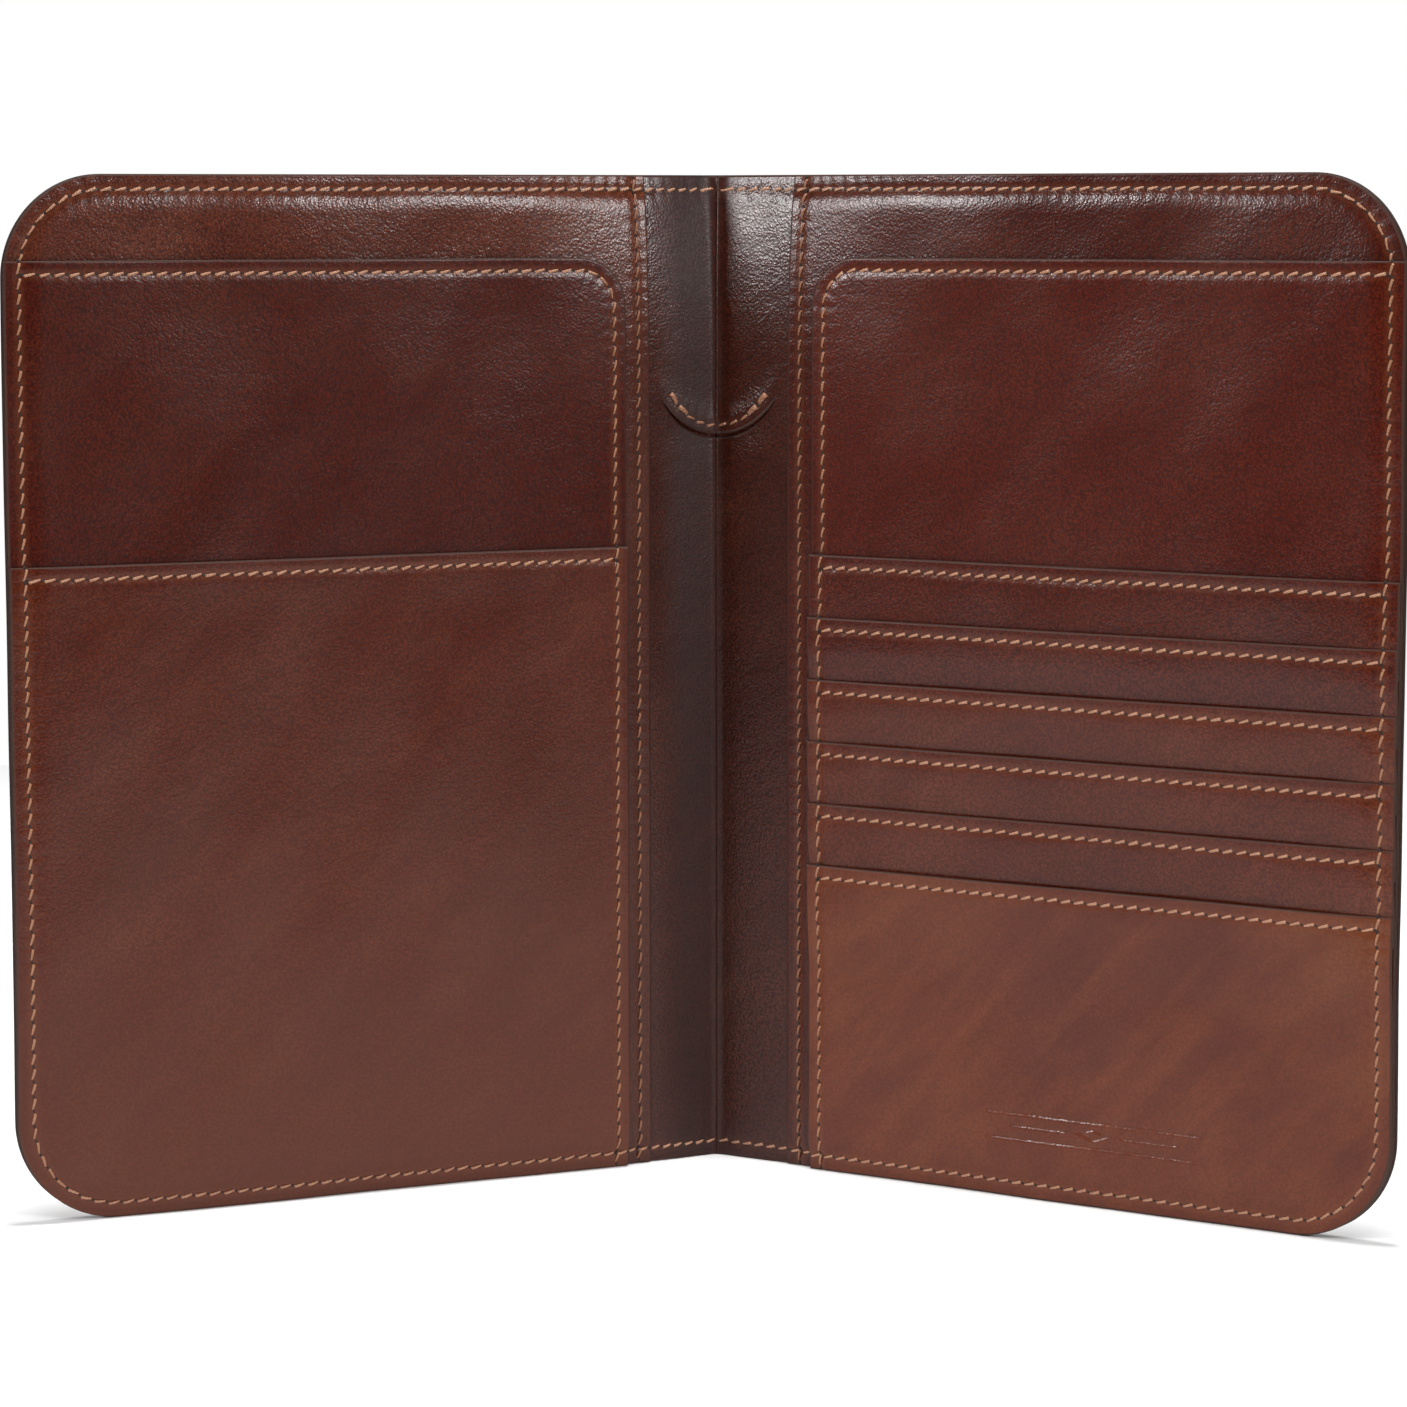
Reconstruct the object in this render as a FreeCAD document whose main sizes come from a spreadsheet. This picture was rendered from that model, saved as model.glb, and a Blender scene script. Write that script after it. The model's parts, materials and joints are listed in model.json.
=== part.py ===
"""Leather passport wallet, a folding cover with pockets on both inner faces, standing half open.

Frame: millimetres, +Z up along the fold, -Y towards the reader, origin on the surface it stands on, under
the middle of the open wallet. Two stiff leaves hinge on the two edges of a narrow creased crown.

Each leaf is drawn in its own frame, with X outwards from its hinge, Z up and the hinge on the Z axis. Heights
through the leather, called levels, are measured towards the reader from the inner face of the spine strip.
"""
import FreeCAD, Part

import math
import os

import Sketcher

SHEET = "Dims"
DIMENSIONS = {
    # overall
    "wallet_height": 152.4,
    "cover_reach": 113.8,  # centre of the fold to the outer edge, along the leather
    "corner_radius": 15.0,
    "crown_half": 5.5,  # half the width of the creased crown, along the leather
    "crown_lean": 33.0,  # degrees from flat to each half of the crown
    "leaf_lean": 29.0,  # degrees from flat to each leaf, as it stands
    "fold_gap": 0.15,  # from the hinge line to each part that ends there
    # thicknesses
    "cover_thick": 1.1,
    "board_thick": 0.7,
    "strip_thick": 0.6,
    "lining_thick": 0.6,
    "pocket_thick": 0.6,
    "facing_thick": 0.5,
    "tongue_thick": 0.1,
    "glue_thick": 0.1,
    "thread_wide": 0.5,
    "thread_proud": 0.2,
    # distances along the leather from the centre of the fold
    "panel_start": 12.5,
    "seam_at": 14.3,
    "strip_end": 18.0,
    "pocket_start": 17.0,
    "pocket_stitch_at": 18.7,
    # pockets, as heights above the bottom edge
    "tall_pocket_top": 140.0,
    "tall_pocket_radius": 7.5,
    "short_pocket_top": 96.2,
    "first_card_top": 95.1,
    "card_pitch": 9.5,
    "facing_height": 14.0,
    "tongue_drop": 28.0,  # from a facing's lower edge to the foot of its tongue
    "tongue_overlap": 2.0,
    "tongue_inset": 4.0,
    "tongue_step": 0.11,
    "facing_lean": 4.0,  # degrees that each facing leans out over the one above it
    "front_lean": 1.9,  # degrees that the front card panel leans out
    # stitching
    "side_stitch_in": 1.9,
    "end_stitch_in": 1.95,
    "stitch_gap": 0.1,  # between two rows where one crosses the other
    "groove_deep": 0.25,  # of the groove that sinks the outer stitching into the cover
    "groove_side": 0.05,  # from each side of that stitching to the groove's
    "mouth_stitch_in": 1.7,
    "glue_wide": 3.6,
    # pen slit
    "slit_foot": 112.6,
    "slit_radius": 11.5,
    "slit_wide": 0.5,
    "slit_half": 10.0,
    "slit_stitch_in": 1.35,
}
CARD_FACINGS = 5

doc = FreeCAD.newDocument("PassportWallet")
sheet = doc.addObject("Spreadsheet::Sheet", SHEET)
for row, (alias, number) in enumerate(DIMENSIONS.items(), start=1):
    sheet.set(f"A{row}", alias)
    sheet.set(f"B{row}", str(number))
    sheet.setAlias(f"B{row}", alias)
doc.recompute()


class Size:
    """A number together with the spreadsheet expression that it comes from."""

    def __init__(self, value, text):
        self.value = value
        self.text = text

    def __add__(self, other):
        other = size(other)
        return Size(self.value + other.value, f"({self.text} + {other.text})")

    def __sub__(self, other):
        other = size(other)
        return Size(self.value - other.value, f"({self.text} - {other.text})")

    def __mul__(self, other):
        other = size(other)
        return Size(self.value * other.value, f"({self.text} * {other.text})")

    def __neg__(self):
        return Size(-self.value, f"(-{self.text})")


def size(value):
    """A Size from a Size, or from a plain number."""
    return value if isinstance(value, Size) else Size(float(value), f"{float(value):.6f}")


def dim(alias):
    """The Size held in one spreadsheet cell."""
    return Size(float(sheet.get(alias)), f"{SHEET}.{alias}")


def across(alias):
    """A distance from the centre of the fold, as a leaf's own X."""
    return dim(alias) - dim("crown_half")


HEIGHT = dim("wallet_height")
LEAF_END = across("cover_reach")
GAP = dim("fold_gap")
WIDE = dim("thread_wide")
PROUD = dim("thread_proud")
OUTER_ROW = LEAF_END - dim("side_stitch_in")
INNER_ROW = across("pocket_stitch_at")
ROW_RADIUS = dim("corner_radius") - dim("side_stitch_in")
ROW_FOOT = dim("end_stitch_in")
ROW_TOP = HEIGHT - dim("end_stitch_in")
GROOVE_SIDE = dim("groove_side")
GROOVE_WIDE = WIDE + GROOVE_SIDE * 2

# Levels, from the outside of the cover to the face of the pockets.
BOARD_LEVEL = -dim("board_thick")
COVER_LEVEL = BOARD_LEVEL - dim("cover_thick")
STRIP_LEVEL = -dim("strip_thick")
LINING_LEVEL = size(0)
LINING_TOP = dim("lining_thick")
TALL_LEVEL = LINING_TOP + dim("glue_thick")
TALL_TOP = TALL_LEVEL + dim("pocket_thick")
SHORT_LEVEL = TALL_TOP + dim("glue_thick")
SHORT_TOP = SHORT_LEVEL + dim("pocket_thick")
TONGUE_LEVEL = TALL_TOP + 0.05
FACING_LEVEL = TONGUE_LEVEL + dim("tongue_step") * CARD_FACINGS + 0.02

# Where the hinges are, in plan, from the crease on the inner face of the crown.
CROWN_LEAN = math.radians(dim("crown_lean").value)
LEAF_LEAN = math.radians(dim("leaf_lean").value)
HINGE_X = dim("crown_half").value * math.cos(CROWN_LEAN)
HINGE_Y = -dim("crown_half").value * math.sin(CROWN_LEAN)

parts = []  # (node object, frame name, tilt placement or None)


def keep(obj, label, frame, tilt=None):
    """Names a finished sub-part and notes which frame it stands in."""
    obj.Label = label
    parts.append((obj, frame, tilt))
    return obj


# ---------------------------------------------------------------- sketches


def bind(sketch, kind, geometry, value, name):
    """Adds a dimension to a sketch and ties it to the spreadsheet."""
    index = sketch.addConstraint(Sketcher.Constraint(kind, *geometry, value.value))
    sketch.renameConstraint(index, name)
    sketch.setExpression(f"Constraints.{name}", value.text)


def rounded_outline(sketch, left, right, foot, top, radii):
    """A rectangle with some of its corners rounded: radii holds a Size for each of those, by corner name."""
    corners = [
        ("foot_left", left, foot, 1, 1, 180, 270),
        ("foot_right", right, foot, -1, 1, 270, 360),
        ("top_right", right, top, -1, -1, 0, 90),
        ("top_left", left, top, 1, -1, 90, 180),
    ]
    ends = []
    for name, x, z, in_x, in_z, _, _ in corners:
        r = radii[name].value if name in radii else 0.0
        along_x = FreeCAD.Vector(x.value + in_x * r, z.value, 0)
        along_z = FreeCAD.Vector(x.value, z.value + in_z * r, 0)
        # going round anticlockwise, the foot_left and top_right corners are reached along the sides
        ends.append((along_z, along_x) if name in ("foot_left", "top_right") else (along_x, along_z))
    lines = []
    for i in range(4):
        start = ends[i][1]
        finish = ends[(i + 1) % 4][0]
        lines.append(sketch.addGeometry(Part.LineSegment(start, finish)))
    for i, line in enumerate(lines):
        sketch.addConstraint(Sketcher.Constraint("Horizontal" if i % 2 == 0 else "Vertical", line))
    for i, (name, x, z, in_x, in_z, begin, finish) in enumerate(corners):
        before = lines[i - 1]
        after = lines[i]
        if name not in radii:
            sketch.addConstraint(Sketcher.Constraint("Coincident", before, 2, after, 1))
            continue
        r = radii[name].value
        centre = FreeCAD.Vector(x.value + in_x * r, z.value + in_z * r, 0)
        circle = Part.Circle(centre, FreeCAD.Vector(0, 0, 1), r)
        arc = sketch.addGeometry(Part.ArcOfCircle(circle, math.radians(begin), math.radians(finish)))
        sketch.addConstraint(Sketcher.Constraint("Tangent", before, 2, arc, 1))
        sketch.addConstraint(Sketcher.Constraint("Tangent", arc, 2, after, 1))
        bind(sketch, "Radius", (arc,), radii[name], f"{name}_radius")
    bind(sketch, "DistanceY", (-1, 1, lines[0], 1), foot, "foot")
    bind(sketch, "DistanceX", (-1, 1, lines[1], 1), right, "right")
    bind(sketch, "DistanceY", (-1, 1, lines[2], 1), top, "top")
    bind(sketch, "DistanceX", (-1, 1, lines[3], 1), left, "left")


def arc_band(sketch, centre_x, centre_z, inner, outer, start_x, end_x):
    """The strip between two arcs about one centre below which both lie, cut off upright at two X values."""

    def foot_of(radius, x):
        drop = math.sqrt(radius**2 - (x - centre_x) ** 2)
        return FreeCAD.Vector(x, centre_z - drop, 0)

    centre = FreeCAD.Vector(centre_x, centre_z, 0)
    up = FreeCAD.Vector(0, 0, 1)
    edges = []
    for radius in (outer, inner):
        ends = [foot_of(radius, start_x), foot_of(radius, end_x)]
        turns = [math.atan2(p.y - centre_z, p.x - centre_x) for p in ends]
        edges.append(sketch.addGeometry(Part.ArcOfCircle(Part.Circle(centre, up, radius), *turns)))
    for x in (start_x, end_x):
        edges.append(sketch.addGeometry(Part.LineSegment(foot_of(outer, x), foot_of(inner, x))))
    out, inside, first, last = edges
    joins = [(out, 1, first, 1), (inside, 1, first, 2), (out, 2, last, 1), (inside, 2, last, 2)]
    for join in joins:
        sketch.addConstraint(Sketcher.Constraint("Coincident", *join))
    sketch.addConstraint(Sketcher.Constraint("Coincident", out, 3, inside, 3))
    for line in (first, last):
        sketch.addConstraint(Sketcher.Constraint("Vertical", line))


def origin_plane(body, role):
    """One of a body's own origin planes."""
    return next(f for f in body.Origin.OriginFeatures if f.Role == role)


def new_sketch(body, name, role, level=None):
    """An empty sketch on one of a body's planes, raised to a level."""
    sketch = body.newObject("Sketcher::SketchObject", name)
    sketch.AttachmentSupport = [(origin_plane(body, role), "")]
    sketch.MapMode = "FlatFace"
    if level is not None:
        sketch.setExpression(".AttachmentOffset.Base.z", level.text)
    return sketch


# ---------------------------------------------------------------- solids


def new_body(name):
    return doc.addObject("PartDesign::Body", name)


def inwards(frame, level):
    """A level as a distance along a leaf sketch's normal, which faces the reader on the right leaf only."""
    return -level if frame == "left" else level


def pad(body, sketch, length, reverse=False):
    feature = body.newObject("PartDesign::Pad", "Pad")
    feature.Profile = sketch
    feature.setExpression("Length", length.text)
    feature.Reversed = reverse
    return feature


def cut_through(body, sketch, name):
    """Cuts a sketch's outline right through a body, and makes sure that something was cut."""
    doc.recompute()
    before = body.Shape.Volume
    cut = body.newObject("PartDesign::Pocket", name)
    cut.Profile = sketch
    cut.Type = "ThroughAll"
    cut.Midplane = True
    doc.recompute()
    if body.Shape.Volume >= before:
        raise RuntimeError(f"{body.Name}: {name} cut nothing")


def carved(name, body, tools):
    """A body with some other solids taken out of it."""
    tool = doc.addObject("Part::MultiFuse", name + "_tools")
    tool.Shapes = tools
    cut = doc.addObject("Part::Cut", name)
    cut.Base = body
    cut.Tool = tool
    return cut


def plate(name, frame, level, thick, left, right, foot, top, radii=None):
    """A flat piece of leather, board or thread on a leaf, with its back at a level."""
    body = new_body(name)
    sketch = new_sketch(body, name + "_outline", "XZ_Plane", inwards(frame, level))
    rounded_outline(sketch, left, right, foot, top, radii or {})
    pad(body, sketch, thick, reverse=frame == "left")
    return body


def elbow(name, frame, level, thick, wide, left, right, foot, top, radius, corner):
    """A band of even width that runs along two sides of a rectangle and round the corner between them."""
    body = new_body(name)
    outline = new_sketch(body, name + "_outside", "XZ_Plane", inwards(frame, level))
    rounded_outline(outline, left, right, foot, top, {corner: radius})
    pad(body, outline, thick, reverse=frame == "left")
    hollow = new_sketch(body, name + "_inside", "XZ_Plane", inwards(frame, level))
    past = size(1)
    at_right = corner.endswith("right")
    at_top = corner.startswith("top")
    rounded_outline(
        hollow,
        left - past if at_right else left + wide,
        right - wide if at_right else right + past,
        foot - past if at_top else foot + wide,
        top - wide if at_top else top + past,
        {corner: radius - wide},
    )
    cut_through(body, hollow, "Hollow")
    return body


def trimmed(body, low, high):
    """The same body with everything between two heights taken away."""
    sketch = new_sketch(body, body.Name + "_trim", "XZ_Plane")
    rounded_outline(sketch, size(-1), LEAF_END + 1, low, high, {})
    cut_through(body, sketch, "Trim")
    return body


def group(name, members):
    """Several solids of one kind, kept as one sub-part."""
    compound = doc.addObject("Part::Compound", name)
    compound.Links = members
    return compound


def chevron(name, low, high, foot, tall):
    """A piece of the creased crown between two levels, with its ends square across the wallet at the hinges."""
    lean = CROWN_LEAN
    end_x = HINGE_X - GAP.value
    crease = FreeCAD.Vector(0, 0, 0)

    def at(level, x):
        """The point at a level below the crown's inner face, a distance x from its middle."""
        return crease + FreeCAD.Vector(x, -level.value / math.cos(lean) - abs(x) * math.tan(lean), 0)

    body = new_body(name)
    sketch = new_sketch(body, name + "_plan", "XY_Plane", foot)
    points = [at(high, -end_x), at(low, -end_x), at(low, 0), at(low, end_x), at(high, end_x), at(high, 0)]
    lines = []
    for i, point in enumerate(points):
        lines.append(sketch.addGeometry(Part.LineSegment(point, points[(i + 1) % len(points)])))
    for i, line in enumerate(lines):
        sketch.addConstraint(Sketcher.Constraint("Coincident", lines[i - 1], 2, line, 1))
    sketch.addConstraint(Sketcher.Constraint("Vertical", lines[0]))
    sketch.addConstraint(Sketcher.Constraint("Vertical", lines[3]))
    sketch.addConstraint(Sketcher.Constraint("Parallel", lines[1], lines[5]))
    sketch.addConstraint(Sketcher.Constraint("Parallel", lines[2], lines[4]))
    lean_text = f"{SHEET}.crown_lean"
    end_text = f"({SHEET}.crown_half * cos({lean_text} * 1deg) - {GAP.text})"
    for line, corner, name_x in ((lines[3], 1, "right_end"), (lines[0], 1, "left_end")):
        sign = 1 if name_x == "right_end" else -1
        value = Size(sign * end_x, f"({sign} * {end_text})")
        bind(sketch, "DistanceX", (-1, 1, line, corner), value, name_x)
    for point, level, label in ((lines[2], low, "back_crease"), (lines[5], high, "front_crease")):
        depth = Size(-level.value / math.cos(lean), f"(-{level.text} / cos({lean_text} * 1deg))")
        bind(sketch, "DistanceY", (-1, 1, point, 1), depth, label)
        sketch.addConstraint(Sketcher.Constraint("PointOnObject", point, 1, -2))
    pad(body, sketch, tall)
    return body


# ---------------------------------------------------------------- the crown of the spine


def cut_slit(body, name, role, centre_x, radius, start_x, end_x):
    """Cuts the curved pen slit through a piece of the spine strip."""
    half = dim("slit_wide").value / 2
    sketch = new_sketch(body, name, role)
    centre_z = dim("slit_foot").value + radius
    arc_band(sketch, centre_x, centre_z, radius - half, radius + half, start_x, end_x)
    cut_through(body, sketch, "Slit")


def crown_slit_radius():
    """The slit's radius as seen square on across the leaning crown, so that it meets its ends on the leaves."""
    true = dim("slit_radius").value
    reach = dim("crown_half").value
    rise = true - math.sqrt(true**2 - reach**2)
    return (HINGE_X**2 + rise**2) / (2 * rise)


def crown():
    cover = chevron("cover_spine", COVER_LEVEL, BOARD_LEVEL, size(0), HEIGHT)
    grooves = []
    runs = []
    for end, foot in (("foot", ROW_FOOT), ("top", ROW_TOP - WIDE)):
        runs.append(chevron(f"edge_thread_in_{end}", size(0), PROUD, foot, WIDE))
        runs.append(chevron(f"edge_thread_out_{end}", COVER_LEVEL, COVER_LEVEL + PROUD, foot, WIDE))
        grooves.append(chevron(f"groove_{end}", COVER_LEVEL, COVER_LEVEL + dim("groove_deep"),
                               foot - GROOVE_SIDE, GROOVE_WIDE))
    keep(carved("grooved_spine", cover, grooves), "outer_cover_spine", "crown")
    keep(group("edge_thread_spine", runs), "edge_thread_spine", "crown")
    end_x = HINGE_X - GAP.value + 1.0
    radius = crown_slit_radius()
    strip = chevron("spine_strip_crown", STRIP_LEVEL, size(0), size(0), HEIGHT)
    cut_slit(strip, "crown_slit", "XZ_Plane", 0.0, radius, -end_x, end_x)
    keep(strip, "spine_strip_crown", "crown")

    arc = new_body("crown_slit_arc")
    centre_z = dim("slit_foot").value + radius
    sketch = new_sketch(arc, "crown_slit_arc_outline", "XZ_Plane")
    stitch_radius = radius - dim("slit_stitch_in").value
    end_x = HINGE_X - GAP.value
    arc_band(sketch, 0.0, centre_z, stitch_radius - WIDE.value, stitch_radius, -end_x, end_x)
    pad(arc, sketch, size(20)).Midplane = True
    layer = chevron("crown_slit_layer", size(0), PROUD, size(0), HEIGHT)
    thread = doc.addObject("Part::Common", "pen_slit_thread_crown")
    thread.Base = layer
    thread.Tool = arc
    keep(thread, "pen_slit_thread_crown", "crown")


# ---------------------------------------------------------------- what both leaves have


def shell(side):
    """Cover, stiffening board, lining panel and the leaf's share of the spine strip."""
    outer = {"foot_right": dim("corner_radius"), "top_right": dim("corner_radius")}
    foot = size(0)
    cover = plate("cover_" + side, side, COVER_LEVEL, dim("cover_thick"), GAP, LEAF_END, foot, HEIGHT, outer)
    grooves = outside_row("groove_" + side, side, dim("groove_deep"), GROOVE_SIDE)
    keep(carved("grooved_" + side, cover, grooves), "outer_cover_" + side, side)
    board = plate("board_" + side, side, BOARD_LEVEL, dim("board_thick"),
                  across("strip_end") + 0.3, LEAF_END, foot, HEIGHT, outer)
    keep(board, "stiffener_board_" + side, side)
    strip = plate("strip_" + side, side, STRIP_LEVEL, dim("strip_thick"), GAP, across("strip_end"), foot, HEIGHT)
    cut_slit(strip, "slit_" + side, "XZ_Plane", -dim("crown_half").value, dim("slit_radius").value,
             -1.0, across("slit_half").value)
    keep(strip, "spine_strip_" + side, side)
    panel = plate("lining_" + side, side, LINING_LEVEL, dim("lining_thick"),
                  across("panel_start"), LEAF_END, foot, HEIGHT, outer)
    keep(panel, "lining_panel_" + side, side)


def slit_thread(side):
    """The end of the pen slit's stitching that lies on a leaf."""
    body = new_body("slit_thread_" + side)
    sketch = new_sketch(body, "slit_thread_outline_" + side, "XZ_Plane")
    radius = dim("slit_radius").value - dim("slit_stitch_in").value
    arc_band(sketch, -dim("crown_half").value, dim("slit_foot").value + dim("slit_radius").value,
             radius - WIDE.value, radius, GAP.value, across("slit_half").value - 1.5)
    pad(body, sketch, PROUD, reverse=side == "left")
    keep(body, "pen_slit_thread_" + side, side)


def glue_line(name, side, level, top):
    """The glued margin round the three closed sides of a pocket, with its mouth left open."""
    margin = dim("glue_wide")
    thick = dim("glue_thick")
    left = across("pocket_start")
    foot = elbow(name + "_foot", side, level, thick, margin, left + margin, LEAF_END, size(0), top,
                 dim("corner_radius"), "foot_right")
    side_run = plate(name + "_side", side, level, thick, left, left + margin, size(0), top)
    return group(name, [foot, side_run])


def tall_pocket(side):
    """The pocket that takes a whole passport, and its glue line."""
    top = dim("tall_pocket_top")
    corner = dim("tall_pocket_radius")
    shape = {"foot_right": dim("corner_radius"), "top_left": corner}
    pocket = plate("tall_pocket_" + side, side, TALL_LEVEL, dim("pocket_thick"),
                   across("pocket_start"), LEAF_END, size(0), top, shape)
    keep(pocket, "tall_pocket_" + side, side)
    keep(glue_line("tall_glue_" + side, side, LINING_TOP, top - corner), "glue_line_tall_pocket_" + side, side)


def mouth_row(name, side, level, top):
    """A row of stitching just under a pocket's mouth, between the rows that run down its two sides."""
    stitch = top - dim("mouth_stitch_in")
    start = INNER_ROW + WIDE + dim("stitch_gap")
    return plate(name, side, level, PROUD, start, OUTER_ROW - WIDE - dim("stitch_gap"), stitch - WIDE, stitch)


def tall_thread_bend(side, foot):
    """The row along the mouth of a tall pocket, round its corner and down to a height."""
    top = dim("tall_pocket_top") - dim("mouth_stitch_in")
    radius = dim("tall_pocket_radius") - dim("mouth_stitch_in")
    return elbow("tall_thread_bend_" + side, side, TALL_TOP, PROUD, WIDE, INNER_ROW,
                 OUTER_ROW - WIDE - dim("stitch_gap"), foot, top, radius, "top_left")


def seam_thread(side):
    """The straight row that joins the lining panel to the spine strip."""
    line = across("seam_at")
    thread = plate("seam_" + side, side, LINING_TOP, PROUD, line, line + WIDE, size(0), HEIGHT)
    keep(thread, "seam_thread_" + side, side)


def edge_thread_upper(side):
    """The row round the leaf's edge from the spine strip to the tall pocket's mouth and a little below it."""
    gap = dim("stitch_gap")
    seam = across("seam_at")
    runs = []
    for name, low in (("foot", ROW_FOOT), ("top", ROW_TOP - WIDE)):
        spans = [
            ("strip", size(0), GAP, across("panel_start") - gap),
            ("margin", LINING_TOP, across("panel_start"), seam - gap),
            ("seam", LINING_TOP, seam + WIDE + gap, across("pocket_start") - gap),
        ]
        for span, level, start, end in spans:
            runs.append(plate(f"edge_{side}_{span}_{name}", side, level, PROUD, start, end, low, low + WIDE))
    mouth = dim("tall_pocket_top")
    below = ROW_TOP - ROW_RADIUS - 1
    bend = (PROUD, WIDE, across("pocket_start"), OUTER_ROW, below, ROW_TOP, ROW_RADIUS, "top_right")
    upper = elbow(f"edge_{side}_upper", side, LINING_TOP, *bend)
    runs.append(trimmed(upper, below - 1, mouth + gap))
    lower = elbow(f"edge_{side}_at_mouth", side, TALL_TOP, *bend)
    runs.append(trimmed(lower, mouth - gap, HEIGHT))
    return runs


def edge_thread_side(side, low):
    """The same row down the outer side of the tall pocket, to a height."""
    high = ROW_TOP - ROW_RADIUS - 1
    return plate(f"edge_{side}_side", side, TALL_TOP, PROUD, OUTER_ROW - WIDE, OUTER_ROW, low, high)


def outside_row(name, side, deep, spread):
    """The same row on the outside of the cover, sunk to a depth and made wider by a spread on each side."""
    middle = HEIGHT * 0.5
    wide = WIDE + spread * 2
    right = OUTER_ROW + spread
    radius = ROW_RADIUS + spread
    upper = elbow(name + "_upper", side, COVER_LEVEL, deep, wide, GAP, right, middle, ROW_TOP + spread,
                  radius, "top_right")
    lower = elbow(name + "_lower", side, COVER_LEVEL, deep, wide, GAP, right, ROW_FOOT - spread, middle,
                  radius, "foot_right")
    return [upper, lower]


# ---------------------------------------------------------------- the left leaf


def left_pockets():
    tall_pocket("left")
    top = dim("short_pocket_top")
    pocket = plate("short_pocket", "left", SHORT_LEVEL, dim("pocket_thick"), across("pocket_start"), LEAF_END,
                   size(0), top, {"foot_right": dim("corner_radius")})
    keep(pocket, "short_pocket_left", "left")
    keep(glue_line("short_glue", "left", TALL_TOP, top), "glue_line_short_pocket", "left")
    keep(mouth_row("short_thread", "left", SHORT_TOP, top), "short_pocket_thread", "left")

    low = ROW_FOOT + WIDE + dim("stitch_gap")
    side_row = plate("tall_thread_foot_left", "left", SHORT_TOP, PROUD, INNER_ROW, INNER_ROW + WIDE, low, top)
    bend = tall_thread_bend("left", top + dim("stitch_gap"))
    keep(group("tall_pocket_thread_left", [bend, side_row]), "tall_pocket_thread_left", "left")


def left_edge_thread():
    low = dim("short_pocket_top")
    gap = dim("stitch_gap")
    runs = edge_thread_upper("left") + outside_row("edge_left_outside", "left", PROUD, size(0))
    runs.append(edge_thread_side("left", low + gap))
    runs.append(elbow("edge_left_lower", "left", SHORT_TOP, PROUD, WIDE, across("pocket_start"), OUTER_ROW,
                      ROW_FOOT, low - gap, ROW_RADIUS, "foot_right"))
    keep(group("edge_thread_left", runs), "edge_thread_left", "left")


# ---------------------------------------------------------------- the right leaf


def leaned(height, level, lean):
    """The placement that leans a card piece out of the right leaf, about a foot line at a height and level."""
    base = FreeCAD.Vector(0, -level.value, height)
    return FreeCAD.Placement(base, FreeCAD.Rotation(FreeCAD.Vector(1, 0, 0), lean))


def facing_top(number):
    return dim("first_card_top") - dim("card_pitch") * (number - 1)


def facing_tilt(number):
    """Where a card facing's foot is, and how far it leans."""
    foot = facing_top(number) - dim("facing_height")
    return leaned(foot.value, FACING_LEVEL, dim("facing_lean").value)


def card_facing(number):
    """One leather facing, leaning out over the one above it, with its row of stitches and its cloth tongue."""
    left = across("pocket_start")
    tall = dim("facing_height")
    tilt = facing_tilt(number)
    facing = plate(f"card_facing_{number}", "right", size(0), dim("facing_thick"), left, LEAF_END, size(0), tall)
    keep(facing, f"card_facing_{number}", "right", tilt)
    keep(mouth_row(f"card_thread_{number}", "right", dim("facing_thick"), tall), f"card_thread_{number}",
         "right", tilt)
    inset = dim("tongue_inset")
    foot = facing_top(number) - tall
    tongue = plate(f"card_tongue_{number}", "right", TONGUE_LEVEL + dim("tongue_step") * (number - 1),
                   dim("tongue_thick"), left + inset, LEAF_END - inset,
                   foot - dim("tongue_drop"), foot + dim("tongue_overlap"))
    keep(tongue, f"card_tongue_{number}", "right")


def front_card_panel():
    """The lowest and foremost card pocket, which runs down to the edge of the wallet."""
    top = facing_top(CARD_FACINGS + 1)
    panel = plate("front_card_panel", "right", size(0), dim("pocket_thick"), across("pocket_start"), LEAF_END,
                  size(0), top, {"foot_right": dim("corner_radius")})
    keep(panel, "card_front_panel", "right", front_tilt())
    row = mouth_row("front_card_thread", "right", dim("pocket_thick"), top)
    keep(row, f"card_thread_{CARD_FACINGS + 1}", "right", front_tilt())
    keep(glue_line("card_glue", "right", TALL_TOP, top - 12.0), "glue_line_card_pockets", "right")


def front_tilt():
    """Where the foot of the front card panel is, lifted just clear of the ground, and how far it leans."""
    lean = dim("front_lean").value
    lift = dim("pocket_thick").value * math.sin(math.radians(lean))
    return leaned(lift, TALL_TOP + dim("glue_thick"), lean)


def card_side_rows(name, left):
    """One row down the side of the card pockets: a length on each facing, leaning with it."""
    gap = dim("stitch_gap")
    high = dim("facing_height")
    low = high - dim("card_pitch") + gap
    rows = []
    for number in range(1, CARD_FACINGS + 1):
        row = plate(f"{name}_{number}", "right", dim("facing_thick"), PROUD, left, left + WIDE, low, high)
        row.Placement = facing_tilt(number)
        rows.append(row)
    return rows


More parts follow.
